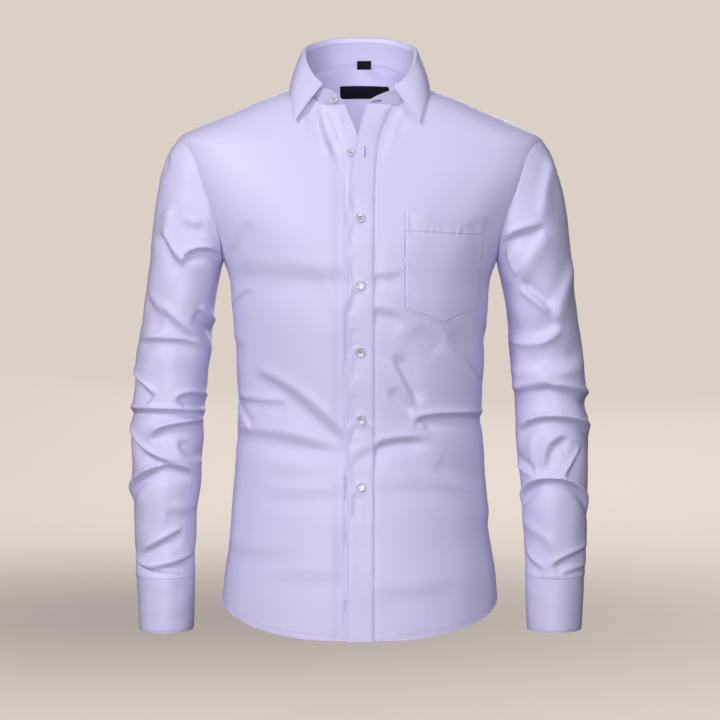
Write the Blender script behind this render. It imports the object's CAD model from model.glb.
# %% [markdown]
# # A long sleeve dress shirt, filled out as if worn
# The shirt is held open by an unseen form: neck, cuffs, hem and armholes stay hollow.
# The CAD frame gives the sizes. Here every panel is computed again on the same form,
# far finer, so that folds, hems and stitches are real geometry. The weave is too fine for
# that, and its yarns are colour, gloss and bump in the material.

# %% Load the frame and keep its box
import math
import bpy
import numpy as np
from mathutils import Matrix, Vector


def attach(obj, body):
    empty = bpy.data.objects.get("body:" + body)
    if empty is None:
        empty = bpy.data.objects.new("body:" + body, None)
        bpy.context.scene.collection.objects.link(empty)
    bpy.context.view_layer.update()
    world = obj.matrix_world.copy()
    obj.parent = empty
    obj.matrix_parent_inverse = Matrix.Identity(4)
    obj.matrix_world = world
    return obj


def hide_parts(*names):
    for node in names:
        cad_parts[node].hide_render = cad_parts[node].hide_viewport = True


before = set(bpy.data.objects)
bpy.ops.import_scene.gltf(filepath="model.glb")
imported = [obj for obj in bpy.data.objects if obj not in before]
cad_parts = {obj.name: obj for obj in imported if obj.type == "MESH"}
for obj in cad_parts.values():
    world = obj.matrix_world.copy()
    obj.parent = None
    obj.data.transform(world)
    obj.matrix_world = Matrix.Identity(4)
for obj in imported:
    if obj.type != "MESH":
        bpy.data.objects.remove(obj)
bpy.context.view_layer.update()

# %% [markdown]
# A tailor's pattern is a list of measures. These tables are the same idea: a row per
# height or seam point, with named columns, in millimetres. A smooth curve through each
# column gives any place between the rows.

# %% Tables and the smooth curve through them
def table(names, rows):
    """A dictionary with one array per named column."""
    values = np.array(rows, float)
    return {name: values[:, k] for k, name in enumerate(names.split())}


def along(tab, name, at):
    """Cubic curve through a column: each row's slope is that between its neighbours."""
    x, y = tab["at"], tab[name]
    slope = np.empty_like(y)
    slope[1:-1] = (y[2:] - y[:-2]) / (x[2:] - x[:-2])
    slope[0] = (y[1] - y[0]) / (x[1] - x[0])
    slope[-1] = (y[-1] - y[-2]) / (x[-1] - x[-2])
    at = np.asarray(at, float)
    inside = np.clip(at, x[0], x[-1])
    k = np.clip(np.searchsorted(x, inside, side="right") - 1, 0, len(x) - 2)
    h = x[k + 1] - x[k]
    t = (inside - x[k]) / h
    curve = ((2 * t**3 - 3 * t**2 + 1) * y[k] + (t**3 - 2 * t**2 + t) * h * slope[k]
             + (3 * t**2 - 2 * t**3) * y[k + 1] + (t**3 - t**2) * h * slope[k + 1])
    beyond = at - inside
    return curve + beyond * np.where(beyond < 0, slope[0], slope[-1])


def mix(a, b, t):
    """From a to b as t goes from 0 to 1."""
    return a + (b - a) * t


def ease(t):
    """0 below 0, 1 above 1, and a soft S between."""
    t = np.clip(t, 0.0, 1.0)
    return t * t * (3 - 2 * t)


def bump_at(d, width):
    """A bell of height 1 and the given half width round d = 0."""
    return np.exp(-((d / width) ** 2))


def sharp_bell(t):
    """Height 1 at t = 0 with a crisp top and long tails: exp(1 - sqrt(1 + 5 t^2))."""
    return np.exp(1 - np.sqrt(1 + 5 * t * t))


def limit(h, most):
    """h near 0, never past `most` either way: most * tanh(h / most)."""
    return most * np.tanh(h / most)


def unit(v):
    """Vectors of length 1."""
    return v / np.maximum(np.linalg.norm(v, axis=-1, keepdims=True), 1e-12)


# %% [markdown]
# The body of the shirt is a stack of rings, each a rounded oval: wide at the chest,
# narrow at the waist, flaring to the hem. Above the armpits the rings shrink along the
# shoulder line to the neck, and behind the neck they rise.

# %% Rings of the body
RINGS = table("at half front back rise", [
    [-720, 183, 114, 124, 0],
    [-660, 179.3, 112, 122, 0],
    [-633, 176.9, 111, 121, 0],
    [-594, 171.6, 109, 119, 0],
    [-543, 166.8, 106, 115, 0],
    [-504, 163.5, 104, 113, 0],
    [-470, 161.4, 102.5, 111, 0],
    [-440, 158.6, 102, 110, 0],
    [-403, 158.3, 104, 111, 0],
    [-363, 160.2, 108, 115, 0],
    [-326, 161.8, 112, 120, 0],
    [-278, 165.8, 116.5, 126, 0],
    [-247, 168.8, 118.5, 129, 0],
    [-222, 177, 119, 130, 0],
    [-185, 193, 117, 129, 1.5],
    [-146, 216.6, 109, 125, 5],
    [-110, 232, 97, 118, 9],
    [-80, 237, 84, 110, 13],
    [-63, 233, 76, 104, 15.5],
    [-42, 189, 67, 98, 17.5],
    [-27, 153.5, 60, 92, 19],
    [-15, 127, 52.5, 85, 20.5],
    [-6, 102.5, 42, 79, 21.4],
    [3, 81, 30, 72, 22],
    [12, 71, 16, 64, 23],
])
ROUNDNESS = 2.3
TIP_Z, ARMPIT_Z, NECK_Z = -63.0, -222.0, 12.0
print("chest girth about", round(2 * math.pi * math.hypot(168.8, 124) / math.sqrt(2)), "mm")


# %% The body's surface
def body_point(th, z):
    """Rounded oval: x = half * sin^e, y = depth * cos^e, with e = 2 / roundness.

    th is the angle in degrees, 0 at the front centre, 90 at the wearer's left side.
    Behind, the height gains rise * cos squared.
    """
    a = np.radians(th)
    s, c = np.sin(a), np.cos(a)
    e = 2 / ROUNDNESS
    x = along(RINGS, "half", z) * np.sign(s) * np.abs(s) ** e
    front = -along(RINGS, "front", z) * np.abs(c) ** e
    back = along(RINGS, "back", z) * np.abs(c) ** e
    y = np.where(c >= 0, front, back)
    lift = np.where(c < 0, along(RINGS, "rise", z) * c * c, 0.0)
    return np.stack([x, y, z + lift], axis=-1)


def body_normal(th, z):
    """Cross product of the directions round the body and up it."""
    z = np.asarray(z, float)
    round_it = body_point(th + 0.6, z) - body_point(th - 0.6, z)
    up = body_point(th, z + 1) - body_point(th, z - 1)
    return unit(np.cross(round_it, up))


def angle_at(x, z):
    """The angle whose point on the ring at height z has this x."""
    r = np.clip(np.abs(x) / along(RINGS, "half", z), 0, 1)
    return np.sign(x) * np.degrees(np.arcsin(r ** (ROUNDNESS / 2)))


def quarter(z, depth):
    """About a quarter of the ring's girth, so that panels keep their width."""
    half, deep = along(RINGS, "half", z), along(RINGS, depth, z)
    return np.pi / 2 * np.sqrt((half**2 + deep**2) / 2)


# %% [markdown]
# A fold is a soft trough with a crisper ridge beside it. Each row below is one fold: three
# points along it (angle, height), its half width, its depth, the height of the ridge, and
# the side that the ridge is on. They follow where the cloth pulls from the armpits, the
# waist and the elbows, and no two are alike.

# %% How folds move the cloth
FOLD_COLUMNS = "a0 z0 a1 z1 a2 z2 wide deep ridge side"


def fold_depth(folds, a, z, step):
    """Sum over the folds of ridge * crest - deep * trough, measured across each fold.

    a * step and z are millimetres on the cloth. A fold is a bent line through its three
    points. The distance to it, with a sign for its side, sets the trough and the ridge.
    The trough is half a bell and half a sharp bell. It is steep towards its ridge and slow
    on its other side, and both fade out at the two ends. side 1 puts the ridge above a fold
    that is listed from low to high a.
    """
    total = np.zeros(np.broadcast(a, z).shape)
    for a0, z0, a1, z1, a2, z2, wide, deep, ridge, side in zip(*folds.values()):
        t = np.linspace(0, 1, 15)
        s = 1 - t
        bend_a, bend_z = 2 * a1 - (a0 + a2) / 2, 2 * z1 - (z0 + z2) / 2
        line_a = (s * s * a0 + 2 * s * t * bend_a + t * t * a2) * step
        line_z = s * s * z0 + 2 * s * t * bend_z + t * t * z2
        near = np.full(total.shape, 1e9)
        place = np.zeros(total.shape)
        signed = np.zeros(total.shape)
        for k in range(14):
            dx, dz = line_a[k + 1] - line_a[k], line_z[k + 1] - line_z[k]
            ox, oz = a * step - line_a[k], z - line_z[k]
            w = np.clip((ox * dx + oz * dz) / (dx * dx + dz * dz), 0, 1)
            rx, rz = ox - dx * w, oz - dz * w
            gap = np.hypot(rx, rz)
            nearer = gap < near
            near = np.where(nearer, gap, near)
            place = np.where(nearer, (k + w) / 14, place)
            signed = np.where(nearer, gap * np.sign(dx * oz - dz * ox), signed)
        fade = ease(place / 0.26) * ease((1 - place) / 0.26)
        crest = sharp_bell((signed * side - 1.5 * wide) / wide)
        reach = near / np.where(signed * side > 0, wide, 1.9 * wide)
        trough = 0.5 * bump_at(reach, 1.0) + 0.5 * sharp_bell(reach)
        total += fade * (ridge * crest - deep * trough)
    return total


def ripples(u, v, seed, count, short, long):
    """Sum of plane waves of random direction and length: the cloth's faint unevenness."""
    rng = np.random.default_rng(seed)
    total = np.zeros(np.broadcast(u, v).shape)
    for _ in range(count):
        turn, phase = rng.uniform(0, np.pi), rng.uniform(0, 2 * np.pi)
        length = rng.uniform(short, long)
        total += np.sin(2 * np.pi * (u * np.cos(turn) + v * np.sin(turn)) / length + phase)
    return total / math.sqrt(count)


# %% Folds of the body
BODY_FOLDS = table(FOLD_COLUMNS, [
    [-60, -370, -28, -398, 0, -478, 10, 5.2, 2.4, 1],
    [-92, -401, -50, -404, -33, -404, 6, 2.6, 2.0, 1],
    [-98, -400, -69, -417, -57, -438, 4.5, 2.8, 1.4, -1],
    [-98, -454, -41, -450, 0, -474, 10, 4.4, 1.8, 1],
    [-48, -520, -26, -523, 0, -516, 10, 1.2, 0.6, 1],
    [-44, -492, -26, -494, -4, -490, 11, 0.8, 0.4, 1],
    [12, -334, 19, -369, 26, -405, 5.5, 4.6, 2.2, -1],
    [10, -380, 15, -398, 22, -414, 4.5, 2.8, 1.2, -1],
    [26, -427, 43, -421, 108, -430, 6, 6.4, 3.6, 1],
    [-2, -484, 9, -454, 33, -454, 6.5, 5.0, 2.0, 1],
    [42, -300, 55, -343, 96, -392, 8, 2.2, 1.4, -1],
    [22, -297, 30, -316, 37, -336, 10, 2.0, 0.8, 1],
    [0, -286, 10, -290, 18, -302, 8, 2.6, 1.2, 1],
    [0, -518, 30, -512, 64, -525, 12, 1.2, 0.6, 1],
    [32, -476, 48, -492, 84, -502, 12, 1.8, 1.0, -1],
    [-78, -239, -28, -244, 0, -248, 15, 2.8, 0.8, 1],
    [0, -241, 10, -243, 18, -237, 7, 1.8, 0.8, 1],
    [-86, -288, -64, -268, -52, -258, 5, 2.4, 1.6, 1],
    [-46, -630, -22, -628, 0, -627, 12, 0.9, 0.4, 1],
    [0, -647, 22, -646, 46, -638, 12, 0.9, 0.4, 1],
    [43, -304, 58, -336, 81, -376, 9, 1.6, 1.0, -1],
    [-96, -592, -51, -602, -24, -592, 12, 1.2, 0.8, 1],
    [-22, -218, -14, -268, -6, -308, 10, 0.9, 0.5, 1],
    [-68, -226, -50, -193, -42, -168, 7, 2.4, 1.4, 1],
    [40, -168, 48, -193, 62, -226, 7, 2.6, 1.6, 1],
    [60, -286, 74, -306, 98, -330, 9, 1.8, 1.0, 1],
    [-100, -340, -80, -332, -62, -338, 9, 1.6, 1.0, 1],
    [62, -560, 84, -566, 112, -556, 12, 1.6, 0.8, 1],
    [98, -238, 128, -252, 162, -242, 12, 3.4, 1.8, 1],
    [200, -264, 228, -242, 258, -232, 12, 3.2, 1.8, 1],
    [102, -352, 132, -384, 168, -440, 8, 5.2, 2.4, 1],
    [190, -452, 228, -392, 258, -362, 8, 5.4, 2.4, 1],
    [100, -452, 140, -466, 178, -480, 7, 4.4, 2.0, 1],
    [188, -506, 224, -470, 262, -462, 7, 4.4, 2.0, 1],
    [112, -318, 132, -330, 156, -322, 9, 2.4, 1.0, 1],
    [204, -332, 226, -322, 252, -300, 9, 2.6, 1.2, 1],
    [120, -408, 150, -420, 176, -416, 6, 3.0, 1.4, 1],
    [186, -404, 212, -424, 240, -420, 6, 3.0, 1.4, -1],
    [140, -560, 178, -552, 224, -568, 12, 2.2, 1.2, 1],
    [112, -604, 150, -612, 190, -600, 12, 1.6, 0.8, 1],
    [118, -146, 148, -128, 174, -122, 11, 2.2, 1.0, 1],
    [186, -124, 212, -132, 240, -148, 11, 2.2, 1.0, 1],
    [106, -520, 122, -508, 150, -516, 10, 1.8, 1.0, 1],
    [206, -536, 232, -524, 256, -530, 10, 1.8, 1.0, 1],
])


# Small pulls round each button: x and height in mm of the three points, then the rest.
BUTTON_PULLS = table(FOLD_COLUMNS, [
    [-3, -160, -8, -146, -11, -126, 4.5, 1.3, 0.5, 1],
    [-4, -170, -9, -186, -8, -206, 4.5, 1.1, 0.5, -1],
    [-4, -244, -9, -230, -8, -212, 4.5, 1.0, 0.4, 1],
    [-3, -254, -8, -268, -12, -288, 5, 1.3, 0.6, -1],
    [-5, -330, -9, -318, -8, -300, 4.5, 0.9, 0.4, 1],
    [-3, -338, -7, -352, -6, -372, 4.5, 0.8, 0.3, -1],
    [-3, -414, -8, -400, -10, -384, 5, 1.2, 0.5, 1],
    [-4, -424, -9, -440, -8, -458, 4.5, 1.2, 0.6, -1],
    [5, -424, 14, -438, 24, -452, 5, 1.4, 0.8, 1],
    [-3, -500, -8, -486, -9, -470, 4.5, 1.0, 0.5, 1],
    [-2, -510, -6, -526, -5, -548, 5, 1.2, 0.6, -1],
    [4, -510, 8, -530, 6, -552, 5, 0.8, 0.4, 1],
    [-34, -26, -33, -44, -24, -66, 5, 1.7, 0.9, 1],
    [-45, -30, -40, -58, -26, -92, 6, 1.4, 0.9, -1],
    [30, -30, 42, -34, 58, -34, 4.5, 1.2, 0.6, 1],
    [-22, -98, -20, -130, -22, -170, 5, 1.4, 0.6, 1],
    [24, -186, 22, -222, 25, -262, 6, 0.9, 0.4, 1],
    [-21, -556, -20, -600, -22, -650, 6, 1.2, 0.5, 1],
    [-52, -16, -44, -48, -20, -108, 6, 3.0, 1.0, -1],
    [-68, -24, -60, -44, -48, -72, 8, 3.4, 0.6, -1],
    [62, -16, 42, -36, 24, -102, 6, 3.0, 0.8, 1],
    [68, -26, 58, -42, 42, -60, 8, 3.0, 0.6, 1],
])
# The done-up buttons' x and height in mm, how much the rows' depths are strengthened, and
# the mm of cloth that one degree stands for.
BUTTON_PLACES = [(0, -165.3), (0, -248.8), (0, -333.2), (1, -419), (1, -504.4)]
BODY_GAIN, SLEEVE_GAIN = 1.1, 1.9
BODY_STEP, SLEEVE_STEP = 2.5, 0.95


def body_relief(th, z):
    """Folds and faint ripples, calm at neck, shoulder, hem, placket and pocket.

    Each button holds the cloth down in a small dimple, and short pulls run from it.
    """
    a = np.mod(np.asarray(th, float) + 90, 360) - 90
    folds = BODY_GAIN * fold_depth(BODY_FOLDS, a, z, BODY_STEP)
    x = body_point(th, z)[..., 0]
    off_z = np.maximum(np.maximum(z + 160, -296 - z), 0)
    off_x = np.maximum(np.maximum(56 - x, x - 158), 0)
    pocketed = mix(0.3, 1, ease(np.hypot(off_x, off_z) / 20))
    in_front = np.abs(a) < 90
    banded = mix(0.25, 1, ease((np.abs(x - 0.3) - 16.4) / 4))
    pocketed = np.where(in_front, pocketed * banded, 1)
    calm = ease((-z - 100) / 70) * ease((z + 712) / 60)
    faint = 0.42 * ripples(a * BODY_STEP, z, 4, 14, 40, 130) * ease((-z - 10) / 60)
    pulls = fold_depth(BUTTON_PULLS, x, z, 1.0)
    for bx, bz in BUTTON_PLACES:
        pulls = pulls - 0.9 * bump_at(np.hypot(x - bx, z - bz), 12)
    pulls = pulls * np.where(in_front, 1 - ease((np.abs(x) - 62) / 20), 0) * ease((z + 712) / 40)
    return limit(folds * calm * pocketed, 9) + pulls + faint * mix(0.4, 1, ease((z + 712) / 60))


def on_body(th, z, out=0.0):
    """Place and outward direction on the folded cloth of the body, `out` mm above it."""
    n = body_normal(th, z)
    return body_point(th, z) + n * (body_relief(th, z) + out)[..., None], n


# %% [markdown]
# Cloth has two faces and a thin edge, so each panel is a closed shell: the outer grid of
# points, the same grid moved in by the cloth's thickness, and a rim. Solidify could do it,
# but then the thickness could not change where a hem is doubled.

# %% Make a closed shell from a grid of points
MM = 0.001


def lengths_from_edges(p):
    """Distance in mm from each grid point to the four edges, along rows and columns."""
    across = np.linalg.norm(np.diff(p, axis=1), axis=-1)
    upward = np.linalg.norm(np.diff(p, axis=0), axis=-1)
    left = np.concatenate([np.zeros((p.shape[0], 1)), np.cumsum(across, axis=1)], axis=1)
    low = np.concatenate([np.zeros((1, p.shape[1])), np.cumsum(upward, axis=0)], axis=0)
    return left, left[:, -1:] - left, low, low[-1:, :] - low


def grid_normals(p):
    """Cross product of the grid's own directions, for forms given by points only."""
    return unit(np.cross(np.gradient(p, axis=1), np.gradient(p, axis=0)))


def mesh_object(name, points, faces, uvs, material, sharp=50):
    """A mesh at the origin, in metres, faces outward, with its UV map and material."""
    p = points[faces]
    flux = np.einsum("ij,ij->", p[:, 0], np.cross(p[:, 1], p[:, 2]))
    flux += np.einsum("ij,ij->", p[:, 0], np.cross(p[:, 2], p[:, 3]))
    if flux < 0:
        faces, uvs = faces[:, ::-1], uvs[:, ::-1]
    mesh = bpy.data.meshes.new(name)
    mesh.from_pydata((points * MM).tolist(), [], faces.tolist())
    layer = mesh.uv_layers.new(name="cloth")
    layer.data.foreach_set("uv", np.ascontiguousarray(uvs, np.float32).ravel())
    mesh.shade_smooth()
    mesh.set_sharp_from_angle(angle=math.radians(sharp))
    mesh.materials.append(material)
    obj = bpy.data.objects.new(name, mesh)
    bpy.context.scene.collection.objects.link(obj)
    return obj


def shell(name, p, n, thick, material, wrap=False):
    """Outer grid p, inner grid p - n * thick, joined by a rim. UVs are metres on the cloth."""
    nv, nu = p.shape[:2]
    thick = np.broadcast_to(np.asarray(thick, float), (nv, nu))
    points = np.concatenate([p.reshape(-1, 3), (p - n * thick[..., None]).reshape(-1, 3)])
    cols = nu if wrap else nu - 1
    j, i = np.meshgrid(np.arange(nv - 1), np.arange(cols), indexing="ij")
    j, i = j.ravel(), i.ravel()
    nxt = (i + 1) % nu
    outer = np.stack([j * nu + i, j * nu + nxt, (j + 1) * nu + nxt, (j + 1) * nu + i], axis=1)
    base = nv * nu
    inner = outer[:, ::-1] + base
    wide = np.linalg.norm(np.diff(p, axis=1), axis=-1).sum(1).mean() * MM
    tall = np.linalg.norm(np.diff(p, axis=0), axis=-1).sum(0).mean() * MM
    u0, u1 = i / cols * wide, (i + 1) / cols * wide
    v0, v1 = j / (nv - 1) * tall, (j + 1) / (nv - 1) * tall
    uv = np.stack([np.stack([u0, v0], 1), np.stack([u1, v0], 1),
                   np.stack([u1, v1], 1), np.stack([u0, v1], 1)], axis=1)
    faces, uvs = [outer, inner], [uv, uv[:, ::-1]]
    k = np.arange(cols)
    rims = [(k, (k + 1) % nu, True), ((nv - 1) * nu + k, (nv - 1) * nu + (k + 1) % nu, False)]
    if not wrap:
        r = np.arange(nv - 1)
        rims += [(r * nu, (r + 1) * nu, False), (r * nu + nu - 1, (r + 1) * nu + nu - 1, True)]
    for a, b, flip in rims:
        rim = np.stack([a, a + base, b + base, b], axis=1)
        faces.append(rim if flip else rim[:, ::-1])
        uvs.append(np.zeros((len(a), 4, 2)))
    return mesh_object(name, points, np.concatenate(faces), np.concatenate(uvs), material)


def dress(obj, nodes=()):
    """Every piece rides on the one body and names its slot and the CAD nodes it stands for."""
    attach(obj, "root")
    if nodes:
        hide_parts(*nodes)
    return obj


def cloth_area(p):
    """Area of the outer grid in square metres, from its quads' diagonals."""
    d1, d2 = p[1:, 1:] - p[:-1, :-1], p[1:, :-1] - p[:-1, 1:]
    return float(np.linalg.norm(np.cross(d1, d2), axis=-1).sum() / 2) * MM * MM


# %% [markdown]
# The cloth is a smooth cotton, closely woven from fine yarn, with a soft sheen like a satin
# weave. Seen close up, single yarns show and some are a little thicker than others. The
# weave is a node group with named inputs, so that cloth, bands and labels can share it.
# The stand's cotton is a little deeper, as the cloth inside the neck looks in the shade.

# %% Node groups: yarns and colour drift
def new_group(name, inputs, outputs):
    """An empty shader group with sockets: (name, kind, default)."""
    group = bpy.data.node_groups.new(name, "ShaderNodeTree")
    for label, kind, default in inputs:
        socket = group.interface.new_socket(name=label, in_out="INPUT", socket_type=kind)
        if default is not None:
            socket.default_value = default
    for label, kind in outputs:
        group.interface.new_socket(name=label, in_out="OUTPUT", socket_type=kind)
    return group, group.nodes.new("NodeGroupInput"), group.nodes.new("NodeGroupOutput")


def maths(tree, kind, a, b=None):
    """A Math node; a and b are sockets or numbers."""
    node = tree.nodes.new("ShaderNodeMath")
    node.operation = kind
    for slot_index, value in enumerate((a, b)):
        if value is None:
            continue
        if isinstance(value, (int, float)):
            node.inputs[slot_index].default_value = value
        else:
            tree.links.new(value, node.inputs[slot_index])
    return node.outputs[0]


def stretched_noise(tree, vector, scale, detail=2.0):
    """Noise whose pattern is drawn out along one direction."""
    stretch = tree.nodes.new("ShaderNodeMapping")
    stretch.inputs["Scale"].default_value = scale
    tree.links.new(vector, stretch.inputs["Vector"])
    noise = tree.nodes.new("ShaderNodeTexNoise")
    noise.inputs["Scale"].default_value = 1.0
    noise.inputs["Detail"].default_value = detail
    tree.links.new(stretch.outputs[0], noise.inputs["Vector"])
    return noise.outputs["Fac"]


YARNS, yarn_in, yarn_out = new_group(
    "Fine yarns",
    [("Cloth UV", "NodeSocketVector", None), ("Yarns per metre", "NodeSocketFloat", 2600.0),
     ("Slub", "NodeSocketFloat", 0.35)],
    [("Height", "NodeSocketFloat"), ("Tone", "NodeSocketFloat")])
split = YARNS.nodes.new("ShaderNodeSeparateXYZ")
YARNS.links.new(yarn_in.outputs["Cloth UV"], split.inputs[0])
turns = maths(YARNS, "MULTIPLY", yarn_in.outputs["Yarns per metre"], math.pi)
warp = maths(YARNS, "SINE", maths(YARNS, "MULTIPLY", split.outputs[0], turns))
weft = maths(YARNS, "SINE", maths(YARNS, "MULTIPLY", split.outputs[1], turns))
woven = maths(YARNS, "MULTIPLY", warp, weft)
thick_warp = stretched_noise(YARNS, yarn_in.outputs["Cloth UV"], (1500, 22, 1))
thick_weft = stretched_noise(YARNS, yarn_in.outputs["Cloth UV"], (22, 1500, 1))
slubs = maths(YARNS, "SUBTRACT", maths(YARNS, "ADD", thick_warp, thick_weft), 1.0)
slubs = maths(YARNS, "MULTIPLY", slubs, yarn_in.outputs["Slub"])
height = maths(YARNS, "ADD", maths(YARNS, "MULTIPLY", woven, 0.5), slubs)
YARNS.links.new(height, yarn_out.inputs["Height"])
YARNS.links.new(maths(YARNS, "ADD", slubs, 0.5), yarn_out.inputs["Tone"])

DRIFT, drift_in, drift_out = new_group(
    "Colour drift",
    [("Place", "NodeSocketVector", None), ("Patch size per metre", "NodeSocketFloat", 6.0)],
    [("Mask", "NodeSocketFloat")])
drift = DRIFT.nodes.new("ShaderNodeTexNoise")
drift.inputs["Detail"].default_value = 3.0
DRIFT.links.new(drift_in.outputs["Place"], drift.inputs["Vector"])
DRIFT.links.new(drift_in.outputs["Patch size per metre"], drift.inputs["Scale"])
DRIFT.links.new(drift.outputs["Fac"], drift_out.inputs["Mask"])
print("groups:", [g.name for g in bpy.data.node_groups])


# %% Cloth material
def placed(tree, group):
    """A group node in a material's tree."""
    node = tree.nodes.new("ShaderNodeGroup")
    node.node_tree = group
    return node


def cloth_material(name, pale, deep, yarns, slub, relief, rough, sheen, specular=0.4):
    """Two near colours mixed by yarn tone and drift, a yarn bump and a soft sheen."""
    material = bpy.data.materials.new(name)
    material.use_nodes = True
    tree = material.node_tree
    shader = tree.nodes["Principled BSDF"]
    place = tree.nodes.new("ShaderNodeTexCoord")
    weave = placed(tree, YARNS)
    weave.inputs["Yarns per metre"].default_value = yarns
    weave.inputs["Slub"].default_value = slub
    tree.links.new(place.outputs["UV"], weave.inputs["Cloth UV"])
    patches = placed(tree, DRIFT)
    tree.links.new(place.outputs["Object"], patches.inputs["Place"])
    share = maths(tree, "ADD", maths(tree, "MULTIPLY", weave.outputs["Tone"], 0.6),
                  maths(tree, "MULTIPLY", patches.outputs["Mask"], 0.4))
    colour = tree.nodes.new("ShaderNodeMix")
    colour.data_type = "RGBA"
    colour.inputs["A"].default_value = (*deep, 1)
    colour.inputs["B"].default_value = (*pale, 1)
    tree.links.new(share, colour.inputs["Factor"])
    tree.links.new(colour.outputs["Result"], shader.inputs["Base Color"])
    gloss = tree.nodes.new("ShaderNodeMapRange")
    gloss.inputs["To Min"].default_value = rough + 0.05
    gloss.inputs["To Max"].default_value = rough - 0.05
    tree.links.new(weave.outputs["Tone"], gloss.inputs["Value"])
    tree.links.new(gloss.outputs["Result"], shader.inputs["Roughness"])
    bump = tree.nodes.new("ShaderNodeBump")
    bump.inputs["Strength"].default_value = relief
    bump.inputs["Distance"].default_value = 0.00006
    tree.links.new(weave.outputs["Height"], bump.inputs["Height"])
    tree.links.new(bump.outputs["Normal"], shader.inputs["Normal"])
    shader.inputs["Sheen Weight"].default_value = sheen
    shader.inputs["Sheen Roughness"].default_value = 0.45
    shader.inputs["Sheen Tint"].default_value = (*pale, 1)
    shader.inputs["Specular IOR Level"].default_value = specular
    return material


PALE, DEEP = (0.652, 0.608, 0.880), (0.610, 0.566, 0.843)
SHIRTING = cloth_material("lavender cotton", PALE, DEEP, 2600, 0.35, 0.5, 0.46, 0.05)
BANDING = cloth_material("lavender cotton, interlined", PALE, DEEP, 2600, 0.3, 0.45, 0.46, 0.05)
NECK_COTTON = cloth_material("stand cotton", (0.50, 0.465, 0.70), (0.47, 0.435, 0.665),
                             2600, 0.3, 0.45, 0.5, 0.05, 0.25)
THREAD = cloth_material("lavender thread", (0.30, 0.28, 0.52), (0.24, 0.22, 0.44), 5200, 0.2, 0.4,
                        0.42, 0.1)
LABEL_TAPE = cloth_material("black label tape", (0.010, 0.0095, 0.018), (0.005, 0.005, 0.010),
                            3200, 0.25, 0.3, 0.75, 0.0, 0.03)
LABEL_THREAD = cloth_material("black thread", (0.03, 0.028, 0.04), (0.02, 0.018, 0.03),
                              5200, 0.2, 0.4, 0.45, 0.1)


# %% [markdown]
# Shirt buttons here are clear, slightly pearly plastic with a raised rim and four holes.
# A clear body over a pale pearl is a coat and some transmission on one shader.

# %% Button material
PEARL = bpy.data.materials.new("clear pearl")
PEARL.use_nodes = True
pearl_tree = PEARL.node_tree
pearl = pearl_tree.nodes["Principled BSDF"]
pearl_place = pearl_tree.nodes.new("ShaderNodeTexCoord")
swirl = placed(pearl_tree, DRIFT)
swirl.inputs["Patch size per metre"].default_value = 420.0
pearl_tree.links.new(pearl_place.outputs["Object"], swirl.inputs["Place"])
pearl_mix = pearl_tree.nodes.new("ShaderNodeMix")
pearl_mix.data_type = "RGBA"
pearl_mix.inputs["A"].default_value = (0.72, 0.70, 0.86, 1)
pearl_mix.inputs["B"].default_value = (0.92, 0.91, 0.99, 1)
pearl_tree.links.new(swirl.outputs["Mask"], pearl_mix.inputs["Factor"])
pearl_tree.links.new(pearl_mix.outputs["Result"], pearl.inputs["Base Color"])
pearl.inputs["Roughness"].default_value = 0.1
pearl.inputs["Transmission Weight"].default_value = 0.4
pearl.inputs["IOR"].default_value = 1.5
pearl.inputs["Coat Weight"].default_value = 0.6
pearl.inputs["Coat Roughness"].default_value = 0.05


# %% [markdown]
# A pattern piece is known by its edges: hem, side seam with armhole, neckline with
# shoulder, and centre edge. The patch between four such edges gives every inner point, in
# pattern coordinates of girth and height, and the body's surface bends it into place.

# %% Patch between four edges
ARMHOLE = table("at turn", [
    [0, 0], [20, 14], [32, 22.5], [49, 28], [65, 29.7], [90, 29.3], [101, 28],
    [112, 25.5], [132, 20], [148, 14], [164, 7], [180, 0],
])
FRONT_HEM, SIDE_HEM, NECK_LOW = -700.0, -657.0, -22.0
HEM = table("at z", [
    [-20, -697.5], [0, -700], [23, -697], [43, -688.5], [57, -680], [71, -671], [82, -664],
    [90, -657], [98, -663], [109, -671], [123, -682], [140, -692], [160, -699], [180, -702],
])
NECK = table("at x z", [
    [0, 0, -22], [0.2, 20, -22], [0.45, 45, -21], [0.6, 58, -15], [0.74, 66, -6],
    [0.87, 70, 3], [1, 71, 12],
])
LIP = 0.25


def armhole(psi):
    """Turn in from the side and height of the armhole seam, psi 0 at the shoulder point."""
    turn = np.maximum(along(ARMHOLE, "turn", psi), 0)
    middle, reach = (TIP_Z + ARMPIT_Z) / 2, (TIP_Z - ARMPIT_Z) / 2
    return turn, middle + reach * np.cos(np.radians(psi))


def patch(us, vs, bottom, top, left, right):
    """Blend of facing edges, less the blend of the corners: rows are vs, columns us."""
    u, v = us[None, :, None], vs[:, None, None]
    b, t = bottom(us)[None], top(us)[None]
    lf, rt = left(vs)[:, None], right(vs)[:, None]
    corners = ((1 - u) * (1 - v) * b[:, :1] + u * (1 - v) * b[:, -1:]
               + (1 - u) * v * t[:, :1] + u * v * t[:, -1:])
    both = (1 - v) * b + v * t + (1 - u) * lf + u * rt - corners
    return both[..., 0], both[..., 1]


def lip_angle(z, depth):
    """Degrees by which a panel reaches past its side seam, so that no gap shows."""
    return np.degrees((LIP / along(RINGS, depth, z)) ** (ROUNDNESS / 2))


def pattern(th, z, depth="front", middle=0.0):
    """Pattern coordinates [girth, height] of an angle and height."""
    return np.stack([(th - middle) / 90 * quarter(z, depth), z + 0 * th], axis=-1)


def seam_dip(d, deep=0.5, wide=1.5):
    """Cloth rolls down into a seam: a bell trough along the edge."""
    return -deep * bump_at(d, wide)


def pucker(d, s, seed, reach=9.0, high=0.22):
    """Short waves across a seam, s mm along it, dying out `reach` mm from it."""
    wave = ripples(s, 0 * s, seed, 5, 9, 21)
    return high * wave * np.exp(-d / reach) * ease(d / 2.0)


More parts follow.
